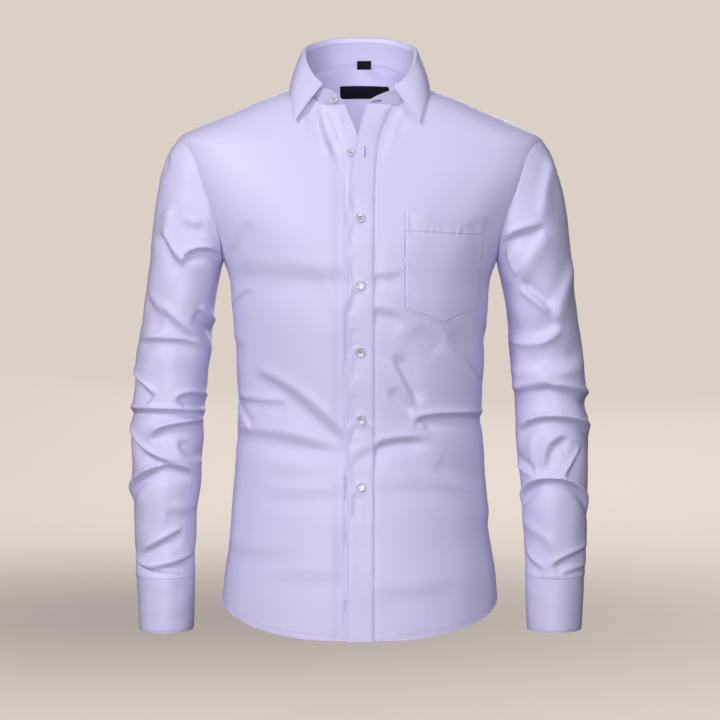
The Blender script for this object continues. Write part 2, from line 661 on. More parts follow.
def stitch_groove(d, at, deep=0.22, wide=0.9):
    """The thread pulls a narrow groove into the cloth at distance `at` from an edge."""
    return -deep * bump_at(d - at, wide)


# %% [markdown]
# Both fronts are one patch each. The wearer's left lies on top, and the right runs under it
# behind the placket. At the open neck the edges part, as with the top buttons undone.

# %% Fronts
EDGES = table("at under over stitch", [
    [-720, -16, -16.4, 16.9],
    [-200, -16, -16.4, 16.9],
    [-162, -15.5, -16, 17],
    [-118, -10, -13.2, 18.2],
    [-84, -3, -6.5, 20.6],
    [-69, 1.5, -3.5, 22.4],
    [-54, 5.5, 0.4, 26.5],
    [-38, 13, 4.2, 33],
    [-22, 19, 9, 41],
])
THIN = 0.55
HEM_WIDE = 7.0
ARM_SHARE, NECK_SHARE = 0.71, 0.42
UNDERLAP = 1.9


def sunk(x, z):
    """How far the right front lies under the left at the centre; x counts inward."""
    return -UNDERLAP * ease((40 - x) / 16) * ease((-30 - z) / 26)


def band_lift(x, z):
    """The open band's free edge stands off the chest: a slope that starts at its seam."""
    share = np.clip((along(EDGES, "stitch", z) - x) / 32, 0, 1)
    return 4.6 * share * ease((-z - 20) / 30) * ease((z + 176) / 50)


def front_panel(side, column):
    """Patch from centre edge to side seam and armhole, from hem to neck and shoulder."""
    def edge(z):
        return along(EDGES, column, z)
    low = float(angle_at(edge(FRONT_HEM), FRONT_HEM))
    neck_start = float(edge(NECK_LOW)) / 100
    last = 90 + lip_angle(SIDE_HEM, "front")

    def bottom(u):
        th = mix(low, last, u)
        return pattern(th, along(HEM, "z", th))

    def left(v):
        z_low = mix(float(along(HEM, "z", low)), ARMPIT_Z, v / ARM_SHARE)
        z_high = mix(ARMPIT_Z, NECK_LOW, (v - ARM_SHARE) / (1 - ARM_SHARE))
        z = np.where(v < ARM_SHARE, z_low, z_high)
        return pattern(angle_at(edge(z), z), z)

    def right(v):
        turn, arm_z = armhole(180 * (1 - np.clip((v - ARM_SHARE) / (1 - ARM_SHARE), 0, 1)))
        z = np.where(v < ARM_SHARE, mix(SIDE_HEM, ARMPIT_Z, v / ARM_SHARE), arm_z)
        th = np.where(v < ARM_SHARE, 90 + lip_angle(z, "front"), 90 - turn)
        return pattern(th, z)

    def top(u):
        s = mix(neck_start, 1.0, np.clip(u / NECK_SHARE, 0, 1))
        z_neck = along(NECK, "z", s)
        th_neck = angle_at(along(NECK, "x", s), z_neck)
        z_arm = mix(NECK_Z, TIP_Z, np.clip((u - NECK_SHARE) / (1 - NECK_SHARE), 0, 1))
        on_neck = u < NECK_SHARE
        z = np.where(on_neck, z_neck, z_arm)
        return pattern(np.where(on_neck, th_neck, 90 + lip_angle(z, "front")), z)

    q, z = patch(np.linspace(0, 1, 96), np.linspace(0, 1, 250), bottom, top, left, right)
    th = 90 * q / quarter(z, "front")
    base = body_point(side * th, z)
    from_centre, from_side, from_hem, from_top = lengths_from_edges(base)
    out = sunk(np.abs(base[..., 0]) * np.sign(th), z) if column == "under" else 0 * z
    out = out + seam_dip(from_side, 0.3) + seam_dip(from_top, 0.3)
    out = out + pucker(from_side, from_hem, 11 + side) + pucker(from_top, from_centre, 15 + side)
    out = out + stitch_groove(from_hem, HEM_WIDE, 0.3)
    out = out + pucker(from_hem, from_centre, 19 + side, 14, 0.4)
    # Beside the placket the cloth dips, unevenly on the right front and lightly on the left.
    if column == "under":
        out = out + stitch_groove(from_centre, 29.0, 0.1)
        uneven = 1 + 0.45 * ripples(z, 0 * z, 21, 5, 60, 190)
        out = out - 1.5 * uneven * bump_at(base[..., 0] + 17.2, 1.9) * ease((-z - 110) / 40)
    else:
        out = out - 0.8 * bump_at(base[..., 0] - 17.9, 1.3) * ease((-z - 30) / 20)
        out = out + band_lift(base[..., 0], z)
    p, n = on_body(side * th, z, out)
    thick = THIN * (1 + 1.0 * ease((HEM_WIDE - from_hem) / 0.8))
    return {"p": p, "n": n, "thick": thick}


left_front = front_panel(1, "over")
right_front = front_panel(-1, "under")
for label, grid, node in (("left_front", left_front, "front_left"),
                          ("right_front", right_front, "front_right")):
    obj = shell(label, grid["p"], grid["n"], grid["thick"], SHIRTING)
    dress(obj, [node])
    print(label, "area", round(cloth_area(grid["p"]), 4), "m2")


# %% [markdown]
# The back is one panel up to the yoke, and the yoke, one piece, joins it to both fronts.
# It runs over the shoulder blades and up to the neck, and carries the shirt's weight.

# %% Back and yoke
YOKE_PSI = 40.0
yoke_turn, YOKE_Z = (float(k) for k in armhole(YOKE_PSI))
BACK_SHARE = 0.78


def mirrored(edge):
    """The same edge on the other side of the centre line."""
    return lambda v: edge(v) * np.array([-1.0, 1.0])


def back_side(v):
    """Side seam, then the armhole up to the yoke."""
    psi = mix(180.0, YOKE_PSI, np.clip((v - BACK_SHARE) / (1 - BACK_SHARE), 0, 1))
    turn, arm_z = armhole(psi)
    z = np.where(v < BACK_SHARE, mix(SIDE_HEM, ARMPIT_Z, v / BACK_SHARE), arm_z)
    th = np.where(v < BACK_SHARE, 90 - lip_angle(z, "back"), 90 + turn)
    return pattern(th, z, "back", 180.0)


def back_hem(u):
    """Shirt-tail curve of the back."""
    lip = lip_angle(SIDE_HEM, "back")
    th = mix(90 - lip, 270 + lip, u)
    return pattern(th, along(HEM, "z", np.where(th > 180, 360 - th, th)), "back", 180.0)


def yoke_low(u):
    """The level seam between back and yoke."""
    th = mix(90 + yoke_turn, 270 - yoke_turn, u)
    return pattern(th, YOKE_Z + 0 * u, "back", 180.0)


def yoke_side(v):
    """Armhole from the yoke seam to the shoulder point."""
    turn, z = armhole(YOKE_PSI * (1 - v))
    return pattern(90 + turn, z, "back", 180.0)


SHOULDER_SHARE = 0.32


def yoke_top(u):
    """Shoulder seam, the back of the neck, shoulder seam."""
    s = np.minimum(u, 1 - u)
    z = mix(TIP_Z, NECK_Z, np.clip(s / SHOULDER_SHARE, 0, 1))
    lip = lip_angle(z, "back")
    w = np.clip((u - SHOULDER_SHARE) / (1 - 2 * SHOULDER_SHARE), 0, 1)
    shoulder = np.where(u < 0.5, 90 - lip, 270 + lip)
    return pattern(np.where(s < SHOULDER_SHARE, shoulder, mix(90 - lip, 270 + lip, w)), z,
                   "back", 180.0)


def back_panel(name, node, us, vs, edges, hemmed):
    """A patch on the back of the body, dipped at its seams."""
    q, z = patch(us, vs, *edges)
    th = 180 + 90 * q / quarter(z, "back")
    base = body_point(th, z)
    from_left, from_right, from_low, from_top = lengths_from_edges(base)
    sides = np.minimum(from_left, from_right)
    out = seam_dip(sides) + seam_dip(from_top, 0.4) + pucker(sides, from_low, 31)
    out = out + pucker(from_top, from_left, 33)
    thick = THIN + 0 * z
    if hemmed:
        out = out + stitch_groove(from_low, HEM_WIDE) + pucker(from_low, from_left, 35, 12, 0.3)
        thick = THIN * (1 + 1.0 * ease((HEM_WIDE - from_low) / 0.8))
    else:
        out = out + 0.45 * ease(from_low / 0.6) + stitch_groove(from_low, 2.0)
    p, n = on_body(th, z, out)
    obj = shell(name, p, n, thick, SHIRTING)
    dress(obj, [node])
    print(name, "area", round(cloth_area(p), 4), "m2")
    return {"p": p, "n": n}


back = back_panel("back_panel", "back", np.linspace(0, 1, 124), np.linspace(0, 1, 184),
                  (back_hem, yoke_low, back_side, mirrored(back_side)),
                  True)
yoke = back_panel("shoulder_yoke", "yoke", np.linspace(0, 1, 124), np.linspace(0, 1, 38),
                  (yoke_low, yoke_top, yoke_side, mirrored(yoke_side)),
                  False)


# %% [markdown]
# A sleeve is a tube. Its first ring is the armhole itself, its last the cuff, and between
# them the rings turn like a fan from upright to level. The photo's outline gives each side
# its own row of widths. The elbow gathers most folds, since an arm hangs a little bent.

# %% Sleeve measures
SLEEVE = table("at outA inA outB inB", [
    [-704, 286.5, 218.2, 287.2, 218.4],
    [-672, 288, 216.6, 289.4, 217],
    [-633, 290.2, 215.7, 291, 216.2],
    [-602, 291.6, 214.9, 294, 214.6],
    [-576, 293.4, 213.1, 294.9, 212.9],
    [-543, 294.2, 211.8, 295.4, 210.9],
    [-520, 297.4, 207.9, 295.8, 210],
    [-487, 295.6, 206, 296.2, 206],
    [-460, 297.8, 204.1, 296.7, 203.6],
    [-436, 298.6, 202.8, 298, 202.6],
    [-417, 297, 201.5, 296.7, 201.4],
    [-389, 293.6, 199.9, 294.2, 199.8],
    [-363, 292.8, 197.4, 291.6, 196.4],
    [-335, 289.4, 193, 289.2, 194.3],
    [-299, 282.2, 190.4, 283.4, 191.4],
    [-266, 278.2, 186, 278.8, 187.2],
    [-243, 275, 182.4, 276.8, 181.6],
    [-222, 272.4, 177.2, 274.8, 177.2],
    [-182, 268.7, 177, 270.4, 177],
    [-146, 263.9, 177, 265, 177],
    [-114, 257.9, 177, 257.6, 177],
    [-84, 247.3, 177, 246.6, 177],
    [-63, 233.2, 177, 233.2, 177],
])
ARM = table("at deep mid", [
    [0, 62.5, 4.5], [0.1, 64, 4.5], [0.2, 62, 5], [0.35, 58, 5], [0.5, 54, 3],
    [0.65, 50, -3], [0.8, 44.5, -9], [0.92, 39.5, -13], [1, 37, -14],
])
CUFF_TOP, CUFF_LOW = -633.0, -700.5
SHOULDER_OUT, SHOULDER_IN, SHOULDER_DEEP, SHOULDER_MID = 233.2, 177.0, 62.5, 4.5

RIGHT_SLEEVE_FOLDS = table(FOLD_COLUMNS, [
    [93, -228, 121, -210, 196, -230, 5, 4.4, 3.2, 1],
    [132, -168, 159, -194, 190, -236, 5, 4.0, 2.0, 1],
    [44, -180, 65, -213, 95, -235, 7, 3.6, 2.2, 1],
    [80, -170, 104, -182, 132, -171, 8, 1.6, 0.8, 1],
    [50, -280, 93, -309, 136, -332, 8, 3.4, 1.8, 1],
    [20, -333, 83, -327, 152, -341, 6, 2.2, 2.4, 1],
    [121, -287, 145, -299, 196, -318, 7, 4.8, 2.4, 1],
    [20, -272, 50, -290, 62, -317, 9, 2.0, 1.0, 1],
    [-10, -366, 44, -386, 67, -400, 5.5, 4.2, 2.4, 1],
    [109, -406, 133, -398, 196, -412, 6, 5.0, 2.6, 1],
    [-22, -423, 87, -417, 206, -427, 5, 4.6, 2.4, 1],
    [74, -455, 103, -437, 196, -436, 5.5, 4.6, 3.2, 1],
    [-6, -430, 60, -473, 128, -486, 6, 4.4, 2.4, 1],
    [119, -446, 132, -468, 192, -472, 6, 2.4, 1.4, -1],
    [-12, -544, 73, -493, 150, -503, 5, 6.2, 3.4, 1],
    [34, -606, 90, -585, 134, -570, 5.5, 2.6, 1.6, 1],
    [38, -621, 98, -617, 176, -601, 5, 2.2, 1.4, 1],
    [0, -606, 67, -623, 154, -626, 4, 2.6, 1.4, 1],
    [95, -540, 127, -552, 180, -546, 9, 1.4, 0.8, 1],
    [55, -150, 62, -174, 57, -200, 9, -2.2, 0.0, 1],
    [20, -84, 30, -94, 42, -100, 6, 1.4, 0.8, 1],
    [216, -308, 290, -322, 350, -300, 9, 3.4, 2.0, 1],
    [236, -240, 300, -258, 344, -232, 9, 2.8, 1.6, 1],
    [204, -404, 270, -414, 346, -400, 6, 5.4, 2.8, 1],
    [202, -464, 280, -450, 340, -476, 6, 5.0, 2.8, 1],
    [208, -532, 290, -512, 344, -528, 6, 4.2, 2.4, 1],
    [226, -348, 290, -368, 336, -352, 8, 2.8, 1.4, -1],
    [220, -574, 238, -592, 254, -612, 6, 2.0, 1.2, 1],
    [212, -196, 250, -180, 290, -196, 9, 2.4, 1.4, 1],
])
LEFT_SLEEVE_FOLDS = table(FOLD_COLUMNS, [
    [76, -184, 122, -191, 196, -214, 6.5, 5.0, 3.2, 1],
    [134, -246, 143, -230, 153, -206, 6, 3.2, 1.4, 1],
    [168, -182, 180, -142, 192, -104, 9, 2.2, 1.0, 1],
    [20, -84, 62, -120, 82, -182, 9, -2.8, 0.0, 1],
    [76, -178, 97, -212, 132, -244, 9, -3.4, 0.0, 1],
    [72, -281, 98, -264, 122, -246, 6, 3.0, 2.6, -1],
    [6, -212, 55, -265, 73, -304, 9, -3.2, 0.0, 1],
    [72, -290, 114, -313, 192, -304, 9, 3.6, 2.4, -1],
    [6, -330, 96, -347, 188, -340, 13, 2.8, 1.6, -1],
    [84, -386, 124, -393, 196, -404, 9, 6.0, 2.4, 1],
    [-24, -412, 55, -394, 112, -388, 7, 6.0, 2.8, 1],
    [-10, -456, 92, -427, 166, -456, 5.5, 5.0, 3.6, 1],
    [120, -494, 145, -485, 190, -476, 5, 2.4, 1.6, -1],
    [114, -505, 127, -476, 120, -441, 6, -2.2, 0.0, 1],
    [63, -452, 92, -462, 99, -492, 7, 2.4, 1.2, 1],
    [38, -460, 56, -482, 75, -504, 5, 2.2, 2.0, 1],
    [-8, -562, 95, -506, 192, -554, 5, 6.0, 3.4, 1],
    [-10, -594, 63, -604, 100, -620, 5, 2.8, 1.4, 1],
    [-6, -618, 50, -623, 84, -628, 4, 1.8, 1.0, 1],
    [100, -606, 129, -585, 186, -574, 10, 1.2, 0.8, 1],
    [118, -624, 142, -616, 176, -602, 6, 1.6, 1.0, 1],
    [214, -262, 285, -274, 342, -252, 9, 3.4, 2.0, 1],
    [206, -358, 280, -344, 346, -350, 8, 3.8, 2.2, 1],
    [208, -430, 285, -444, 340, -430, 6, 5.2, 2.8, 1],
    [204, -508, 285, -486, 342, -508, 6, 5.2, 2.8, 1],
    [238, -300, 296, -314, 336, -300, 8, 2.6, 1.2, -1],
    [216, -386, 262, -396, 320, -388, 7, 3.0, 1.6, 1],
    [222, -570, 238, -590, 254, -610, 6, 2.0, 1.2, 1],
    [214, -190, 252, -176, 290, -190, 9, 2.4, 1.4, 1],
])
print(len(RIGHT_SLEEVE_FOLDS["a0"]), "folds on the right sleeve")


# %% Sleeve surface
def sleeve_base(side, psi, r):
    """Ellipse between the outer and inner outline, turned from armhole to cuff.

    psi is the angle round it, 0 outside and 90 in front; r is 0 at the shoulder, 1 at the
    cuff. Near the shoulder it is pulled onto the armhole seam of the body.
    """
    out, inn = ("outA", "inA") if side < 0 else ("outB", "inB")
    zo = mix(TIP_Z, CUFF_TOP, r)
    zi = zo - (TIP_Z - ARMPIT_Z) * np.maximum(0, 1 - r / 0.8) ** 1.6
    xo, xi = along(SLEEVE, out, zo), along(SLEEVE, inn, zi)
    c, s = np.cos(np.radians(psi)), np.sin(np.radians(psi))
    ring = np.stack([side * ((xo + xi) / 2 + (xo - xi) / 2 * c),
                     along(ARM, "mid", r) - along(ARM, "deep", r) * s,
                     (zo + zi) / 2 + (zo - zi) / 2 * c], axis=-1)
    turn_psi = np.mod(psi, 360)
    ahead = turn_psi <= 180
    turn, z = armhole(np.where(ahead, turn_psi, 360 - turn_psi))
    th = side * np.where(ahead, 90 - turn, 90 + turn)
    seam = body_point(th, z) + body_normal(th, z) * body_relief(th, z)[..., None]
    start = np.stack([side * (SHOULDER_OUT + (SHOULDER_IN - SHOULDER_OUT) * (1 - c) / 2),
                      SHOULDER_MID - SHOULDER_DEEP * s,
                      (TIP_Z + ARMPIT_Z) / 2 + (TIP_Z - ARMPIT_Z) / 2 * c], axis=-1)
    hold = (1 - ease(r / 0.24))[..., None]
    return ring + hold * (seam - start)


def sleeve_angle(side, p, r):
    """Angle round the sleeve at a point's own height."""
    z = np.minimum(p[..., 2], -70)
    out = along(SLEEVE, "outA" if side < 0 else "outB", z)
    inn = along(SLEEVE, "inA" if side < 0 else "inB", z)
    c = np.clip((np.abs(p[..., 0]) - (out + inn) / 2) / ((out - inn) / 2), -1, 1)
    psi = np.degrees(np.arccos(c))
    return np.where(p[..., 1] > along(ARM, "mid", r), 360 - psi, psi)


def sleeve_relief(side, p, r):
    """Folds, calm at the armhole, at the cuff and along the slit's placket."""
    folds = RIGHT_SLEEVE_FOLDS if side < 0 else LEFT_SLEEVE_FOLDS
    psi, z = sleeve_angle(side, p, r), p[..., 2]
    calm = ease((r - 0.005) / 0.07) * ease((1 - r) / 0.035)
    slit = 1 - 0.85 * ease((-480 - z) / 30) * ease((psi - 262) / 14) * ease((334 - psi) / 14)
    faint = 0.42 * ripples(psi * SLEEVE_STEP, z, 50 + side, 14, 30, 110) * ease(r / 0.08)
    both = (fold_depth(folds, psi, z, SLEEVE_STEP)
            + fold_depth(folds, psi - 360, z, SLEEVE_STEP))
    deep = SLEEVE_GAIN * both * calm * slit
    return limit(deep, 7.5) + faint * ease((1 - r) / 0.03)


def on_sleeve(side, psi, r, out=0.0):
    """Place and outward direction on the folded sleeve, `out` mm above it."""
    p = sleeve_base(side, psi, r)
    round_it = sleeve_base(side, psi + 1, r) - sleeve_base(side, psi - 1, r)
    down = sleeve_base(side, psi, r + 0.003) - sleeve_base(side, psi, np.maximum(r - 0.003, 0))
    n = unit(np.cross(round_it, down)) * side
    return p + n * (sleeve_relief(side, p, r) + out)[..., None], n


# %% Sleeves
def sleeve(side, name, node):
    """A tube of rings, with a turned-in seam allowance inside the armhole."""
    psi = np.linspace(0, 360, 144, endpoint=False)
    r = np.linspace(0, 1, 260)
    psi, r = np.meshgrid(psi, r)
    base = sleeve_base(side, psi, r)
    _, _, from_top, from_cuff = lengths_from_edges(base)
    girth = psi * SLEEVE_STEP
    out = seam_dip(from_top, 0.3, 1.6) + pucker(from_top, girth, 60 + side, 11, 0.3)
    out = out + pucker(from_cuff, girth, 64 + side, 14, 0.3) + seam_dip(from_cuff, 0.8, 1.6)
    out = out + 1.1 * bump_at(from_cuff - 5.5, 4.5)
    p, n = on_sleeve(side, psi, r, out)
    tuck = p[:1] - unit(p[1:2] - p[:1]) * 5.0 - n[:1] * 1.2
    p, n = np.concatenate([tuck, p]), np.concatenate([n[:1], n])
    obj = shell(name, p, n, THIN, SHIRTING, wrap=True)
    dress(obj, [node])
    print(name, "area", round(cloth_area(p), 4), "m2")


sleeve(-1, "right_sleeve", "sleeve_right")
sleeve(1, "left_sleeve", "sleeve_left")


# %% [markdown]
# A cuff is two layers of cloth over a stiffening, turned out and stitched round, so it
# keeps its round form and a soft, thick edge. Its ends lap at the outside of the wrist.

# %% Cuffs
LAP_START, LAP = 268.0, 46.0
BAND = 1.5
EDGE_STITCH = 2.4
WRIST_MID, WRIST_DEEP = -14, 37.4


def edge_round(d, thick, roll=1.0):
    """Thickness of a turned edge: it falls off over the last `roll` mm."""
    return thick * np.sqrt(np.clip(1 - (1 - np.clip(d / roll, 0, 1)) ** 2, 0.12, 1))


def cuff_point(side, psi, z, out):
    """Round the wrist's circle, widened by `out`."""
    wide = (along(SLEEVE, "outA" if side < 0 else "outB", z)
            - along(SLEEVE, "inA" if side < 0 else "inB", z)) / 2
    middle = along(SLEEVE, "outA" if side < 0 else "outB", z) - wide
    a = np.radians(psi)
    n = np.stack([side * np.cos(a), -np.sin(a), 0 * a + 0 * z], axis=-1)
    p = np.stack([side * middle + n[..., 0] * (wide + 0.4 + out),
                  WRIST_MID + n[..., 1] * (WRIST_DEEP + out), z + 0 * a], axis=-1)
    return p, n


def cuff(side, name, node):
    """A band of a whole turn and a lap, the first end stepping inside the last."""
    turn, t = np.meshgrid(np.linspace(0, 360 + LAP, 150), np.linspace(0, 1, 36))
    z = mix(CUFF_TOP + 1.5, CUFF_LOW, t)
    under = ease((LAP + 44 - turn) / 40)
    base, _ = cuff_point(side, LAP_START + turn, z, 0)
    from_end, from_start, from_top, from_low = lengths_from_edges(base)
    ends = np.minimum(from_end, from_start)
    edge = np.minimum(np.minimum(from_top, from_low), ends)
    out = -(BAND + 0.45) * under + 0.35 * ripples(turn * 0.64, z, 70 + side, 8, 30, 90)
    out = out - 0.45 * (1 - ease(edge / 1.3)) + stitch_groove(edge, EDGE_STITCH, 0.3, 0.7)
    out = out + 0.5 + pucker(edge, from_end + from_top, 74 + side, 6, 0.12)
    p, n = cuff_point(side, LAP_START + turn, z, out)
    obj = shell(name, p, n, edge_round(edge, BAND), BANDING)
    dress(obj, [node])
    print(name, "area", round(cloth_area(p), 4), "m2")
    return {"p": p, "n": n}


right_cuff = cuff(-1, "right_cuff", "cuff_right")
left_cuff = cuff(1, "left_cuff", "cuff_left")


# %% [markdown]
# Above each cuff the sleeve is slit, so that a hand can pass. A strip with a pointed top
# binds the slit, stitched down all round.

# %% Sleeve plackets
STRIP = 1.0


def sleeve_placket(side, name, node):
    """A strip on the sleeve's own surface whose top rows rise to a point."""
    i, t = np.meshgrid(np.linspace(0, 1, 22), np.linspace(0, 1, 110))
    rise = 0.022
    point = rise * (1 - np.abs(2 * i - 1)) - rise
    r = mix(0.998, 0.79, t) - point * ease(t)
    psi = mix(282, 314, i)
    base = sleeve_base(side, psi, r)
    a, b, _, d = lengths_from_edges(base)
    edge = np.minimum(np.minimum(a, b), d)
    p, n = on_sleeve(side, psi, r, STRIP + 0.15 + stitch_groove(edge, 2.0, 0.25))
    obj = shell(name, p, n, edge_round(edge, STRIP, 0.7), SHIRTING)
    dress(obj, [node])
    print(name, "area", round(cloth_area(p), 5), "m2")
    return {"p": p, "n": n}


right_slit = sleeve_placket(-1, "right_sleeve_placket", "sleeve_placket_right")
left_slit = sleeve_placket(1, "left_sleeve_placket", "sleeve_placket_left")


# %% [markdown]
# The front placket is a folded band sewn onto the left front's edge, with a line of
# stitches near each side. It is the straightest thing on the shirt, since it is thicker,
# but the pull of the buttons still lets folds cross it.

# %% Front placket and facing
def strip_on_front(name, node, x0, x1, z_low, z_top, out, thick, nu, folded):
    """Columns from x0(z) to x1(z) on the body's surface, `out(x, z)` mm above it."""
    u, t = np.meshgrid(np.linspace(0, 1, nu), np.linspace(0, 1, 330))
    z_row = mix(z_low, z_top, t)
    x = mix(x0(z_row), x1(z_row), u)
    hem = along(HEM, "z", np.abs(angle_at(x, z_row)))
    z = z_row + (hem - 0.3 - z_low) * (1 - ease(t / 0.05))
    base = body_point(angle_at(x, z), z)
    a, b, c, _ = lengths_from_edges(base)
    edge = np.minimum(a, b)
    lift = out(x, z) + (stitch_groove(edge, 1.7, 0.3, 0.6) + pucker(edge, c, 81, 6, 0.16)
                        - 0.2 * (1 - ease(edge / 0.8)) if folded else 0)
    p, n = on_body(angle_at(x, z), z, lift)
    obj = shell(name, p, n, edge_round(edge, thick, 0.5), SHIRTING)
    dress(obj, [node])
    print(name, "area", round(cloth_area(p), 5), "m2")
    return {"p": p, "n": n}


placket = strip_on_front("front_band", "front_placket",
                         lambda z: along(EDGES, "over", z) - 0.4,
                         lambda z: along(EDGES, "stitch", z),
                         -700.0, -22.6, lambda x, z: STRIP + 0.3 + band_lift(x, z), STRIP, 32,
                         True)
strip_on_front("button_band", "button_facing",
               lambda z: -along(EDGES, "under", z) - 30,
               lambda z: -along(EDGES, "under", z) - 0.3,
               -699.0, -23.5,
               lambda x, z: sunk(-x, z) - THIN * 2 - 0.25, 0.5, 12, False)


# %% [markdown]
# The chest pocket is a patch with a pointed foot, sewn round three sides. Its mouth is a
# deep doubled hem, and a small stitched corner on each side takes the strain.

# %% Chest pocket
POCKET = table("at xl zl xm zm xr zr", [
    [0, 55.6, -279, 105, -298.5, 150.4, -281.7],
    [0.25, 55.3, -249, 105.5, -264, 152.2, -253],
    [0.5, 55.1, -219, 106.5, -229.5, 154.6, -224],
    [0.76, 55.1, -190, 107.5, -194, 157.2, -193.5],
    [1, 55.1, -159.2, 108, -162, 160.6, -164.5],
])
MOUTH_HEM = 23.5
CORNER_BAR = 6.8


def pocket():
    """Three guide lines, left, middle and right, and straight rows between them."""
    u, t = np.meshgrid(np.linspace(0, 1, 121), np.linspace(0, 1, 141))
    left_half = u < 0.5
    w = np.where(left_half, 2 * u, 2 * u - 1)
    x = np.where(left_half, mix(along(POCKET, "xl", t), along(POCKET, "xm", t), w),
                 mix(along(POCKET, "xm", t), along(POCKET, "xr", t), w))
    z = np.where(left_half, mix(along(POCKET, "zl", t), along(POCKET, "zm", t), w),
                 mix(along(POCKET, "zm", t), along(POCKET, "zr", t), w))
    base = body_point(angle_at(x, z), z)
    a, b, c, d = lengths_from_edges(base)
    edge = np.minimum(np.minimum(a, b), c)
    gape = 1.3 * ease((18 - d) / 18) * ease(np.minimum(a, b) / 26)
    belly = 0.7 * ease(edge / 30)
    corner = np.minimum(a, b)
    out = 1.15 + gape + belly + stitch_groove(edge, 1.8, 0.8, 0.8)
    out = out + pucker(edge, a + c, 90, 9, 0.55) - 0.2 * (1 - ease(edge / 0.7))
    out = out + 0.45 * ease((MOUTH_HEM - d) / 0.7) + stitch_groove(d, MOUTH_HEM - 1.2, 0.6, 0.8)
    out = out + 0.4 * ripples(a, 0 * a, 93, 6, 7, 16) * np.exp(-np.abs(d - MOUTH_HEM + 4) / 5)
    out = out + stitch_groove(corner, CORNER_BAR, 0.4, 0.7) * ease((MOUTH_HEM - d) / 1.5)
    p, n = on_body(angle_at(x, z), z, out)
    obj = shell("pocket", p, n, edge_round(np.minimum(edge, d), 0.9, 0.5), SHIRTING)
    dress(obj, ["chest_pocket"])
    print("chest pocket area", round(cloth_area(p), 5), "m2")
    return {"p": p, "n": n}


chest_pocket = pocket()


# %% [markdown]
# The collar has two parts. The stand is a band that rises from the neck seam; the leaf is
# sewn to its top, rolls over it and falls to its points. Both are interlined, so they hold
# a clean curve, and the leaf's roll is a real bend of cloth, not a sharp edge.

# %% Collar measures
COLLAR = table("at nx ny nz tx ty tz ex ey ez", [
    [0, -19, -57.6, -22, -19.6, -57, -19.5, 0, 0, 0],
    [1, -24, -57.4, -22, -24.5, -55.5, -14.5, 0, 0, 0],
    [2, -31, -57, -22, -31, -53, -8, 0, 0, 0],
    [3, -39, -56.4, -21.5, -39, -50, -3, -80.5, -80, -59],
    [4, -47, -55, -20.5, -47.5, -45.5, -0.5, -83, -70, -44.5],
    [5, -58, -48.9, -15, -58, -38.5, 10, -85, -59, -31],
    [6, -66, -35, -6, -66, -27, 23, -88, -40.5, -12],
    [7, -70, -18.4, 3, -70, -14, 35, -90, -22, -3],
    [8, -71, 0, 12, -70.5, 3, 46, -90, -3, 1.5],
    [9, -67.2, 25.2, 14.7, -67, 27.5, 51, -85.5, 31, 6],
    [10, -52.5, 47.3, 23.5, -51.5, 49, 57.5, -64, 61, 15],
    [11, -30.2, 59.9, 31.8, -29.5, 62, 62.5, -37, 76, 18],
    [12, 0, 64, 35, 0, 66, 64, 0, 80, 20],
    [13, 30.2, 59.9, 31.8, 29.5, 62, 62.5, 37, 76, 18],
    [14, 52.5, 47.3, 23.5, 51.5, 49, 57.5, 64, 61, 15],
    [15, 67.2, 25.2, 14.7, 67, 27.5, 51, 85.5, 31, 6],
    [16, 71, 0, 12, 70.5, 3, 46, 89.5, -3, 1.5],
    [17, 70, -18.4, 3, 70, -14, 34, 89.5, -22, -3],
    [18, 66, -35, -6, 66, -27, 21, 86.5, -42, -13],
    [19, 58, -48.9, -15, 57, -38.5, 7.5, 80.6, -60, -30],
    [20, 44, -55.6, -21, 43, -45.5, -4, 74.4, -72, -47.5],
    [21, 35, -56.7, -21.7, 35, -49.8, -6, 69, -83, -64],
    [22, 24, -57.3, -22, 23.5, -53, -10.5, 0, 0, 0],
    [23, 14.5, -57.8, -22, 14, -55.8, -15.5, 0, 0, 0],
    [24, 9, -57.9, -22, 9, -57.2, -19.5, 0, 0, 0],
])


def station(at, kind):
    """Point of the collar's guide line: n neck seam, t stand's top, e leaf's edge."""
    return np.stack([along(COLLAR, kind + axis, at) for axis in "xyz"], axis=-1)


def collar_out(at):
    """Level direction away from the neck, square to the neck seam."""
    d = station(np.minimum(at + 0.2, 24), "n") - station(np.maximum(at - 0.2, 0), "n")
    n = unit(np.stack([-d[..., 1], d[..., 0], 0 * d[..., 0]], axis=-1))
    p = station(at, "n")
    away = np.sign(n[..., 0] * p[..., 0] + n[..., 1] * p[..., 1])
    return n * away[..., None]


# %% Collar stand
def collar_stand():
    """Straight rows from the neck seam up to the stand's top, with a soft top edge."""
    at, t = np.meshgrid(np.linspace(0, 24, 220), np.linspace(0, 1, 28))
    low = station(at, "n") + np.array([0, 0, -0.8])
    high = station(at, "t") + np.array([0, 0, 0.5])
    n = collar_out(at)
    p = mix(low, high, t[..., None])
    a, b, c, d = lengths_from_edges(p)
    ends = np.minimum(a, b)
    edge = np.minimum(np.minimum(c, d), ends)
    out = -0.2 + stitch_groove(c, EDGE_STITCH, 0.3, 0.7) - 0.4 * (1 - ease(edge / 1.0))
    out = out + pucker(c, a, 101, 6, 0.16) + 0.15 * ripples(a, c, 103, 8, 30, 90)
    p = p + n * out[..., None]
    obj = shell("stand", p, n, edge_round(edge, BAND), NECK_COTTON)
    dress(obj, ["collar_stand"])
    print("collar stand area", round(cloth_area(p), 5), "m2")
    return {"p": p, "n": n}


stand = collar_stand()

# %% Collar leaf
ROLL = table("at out up", [
    [0, -1.25, -1.0], [1, -1.3, 1.0], [2, -1.2, 2.8], [3, -0.5, 4.3], [4, 0.7, 5.0],
    [5, 1.9, 4.4], [6, 2.7, 3.0],
])


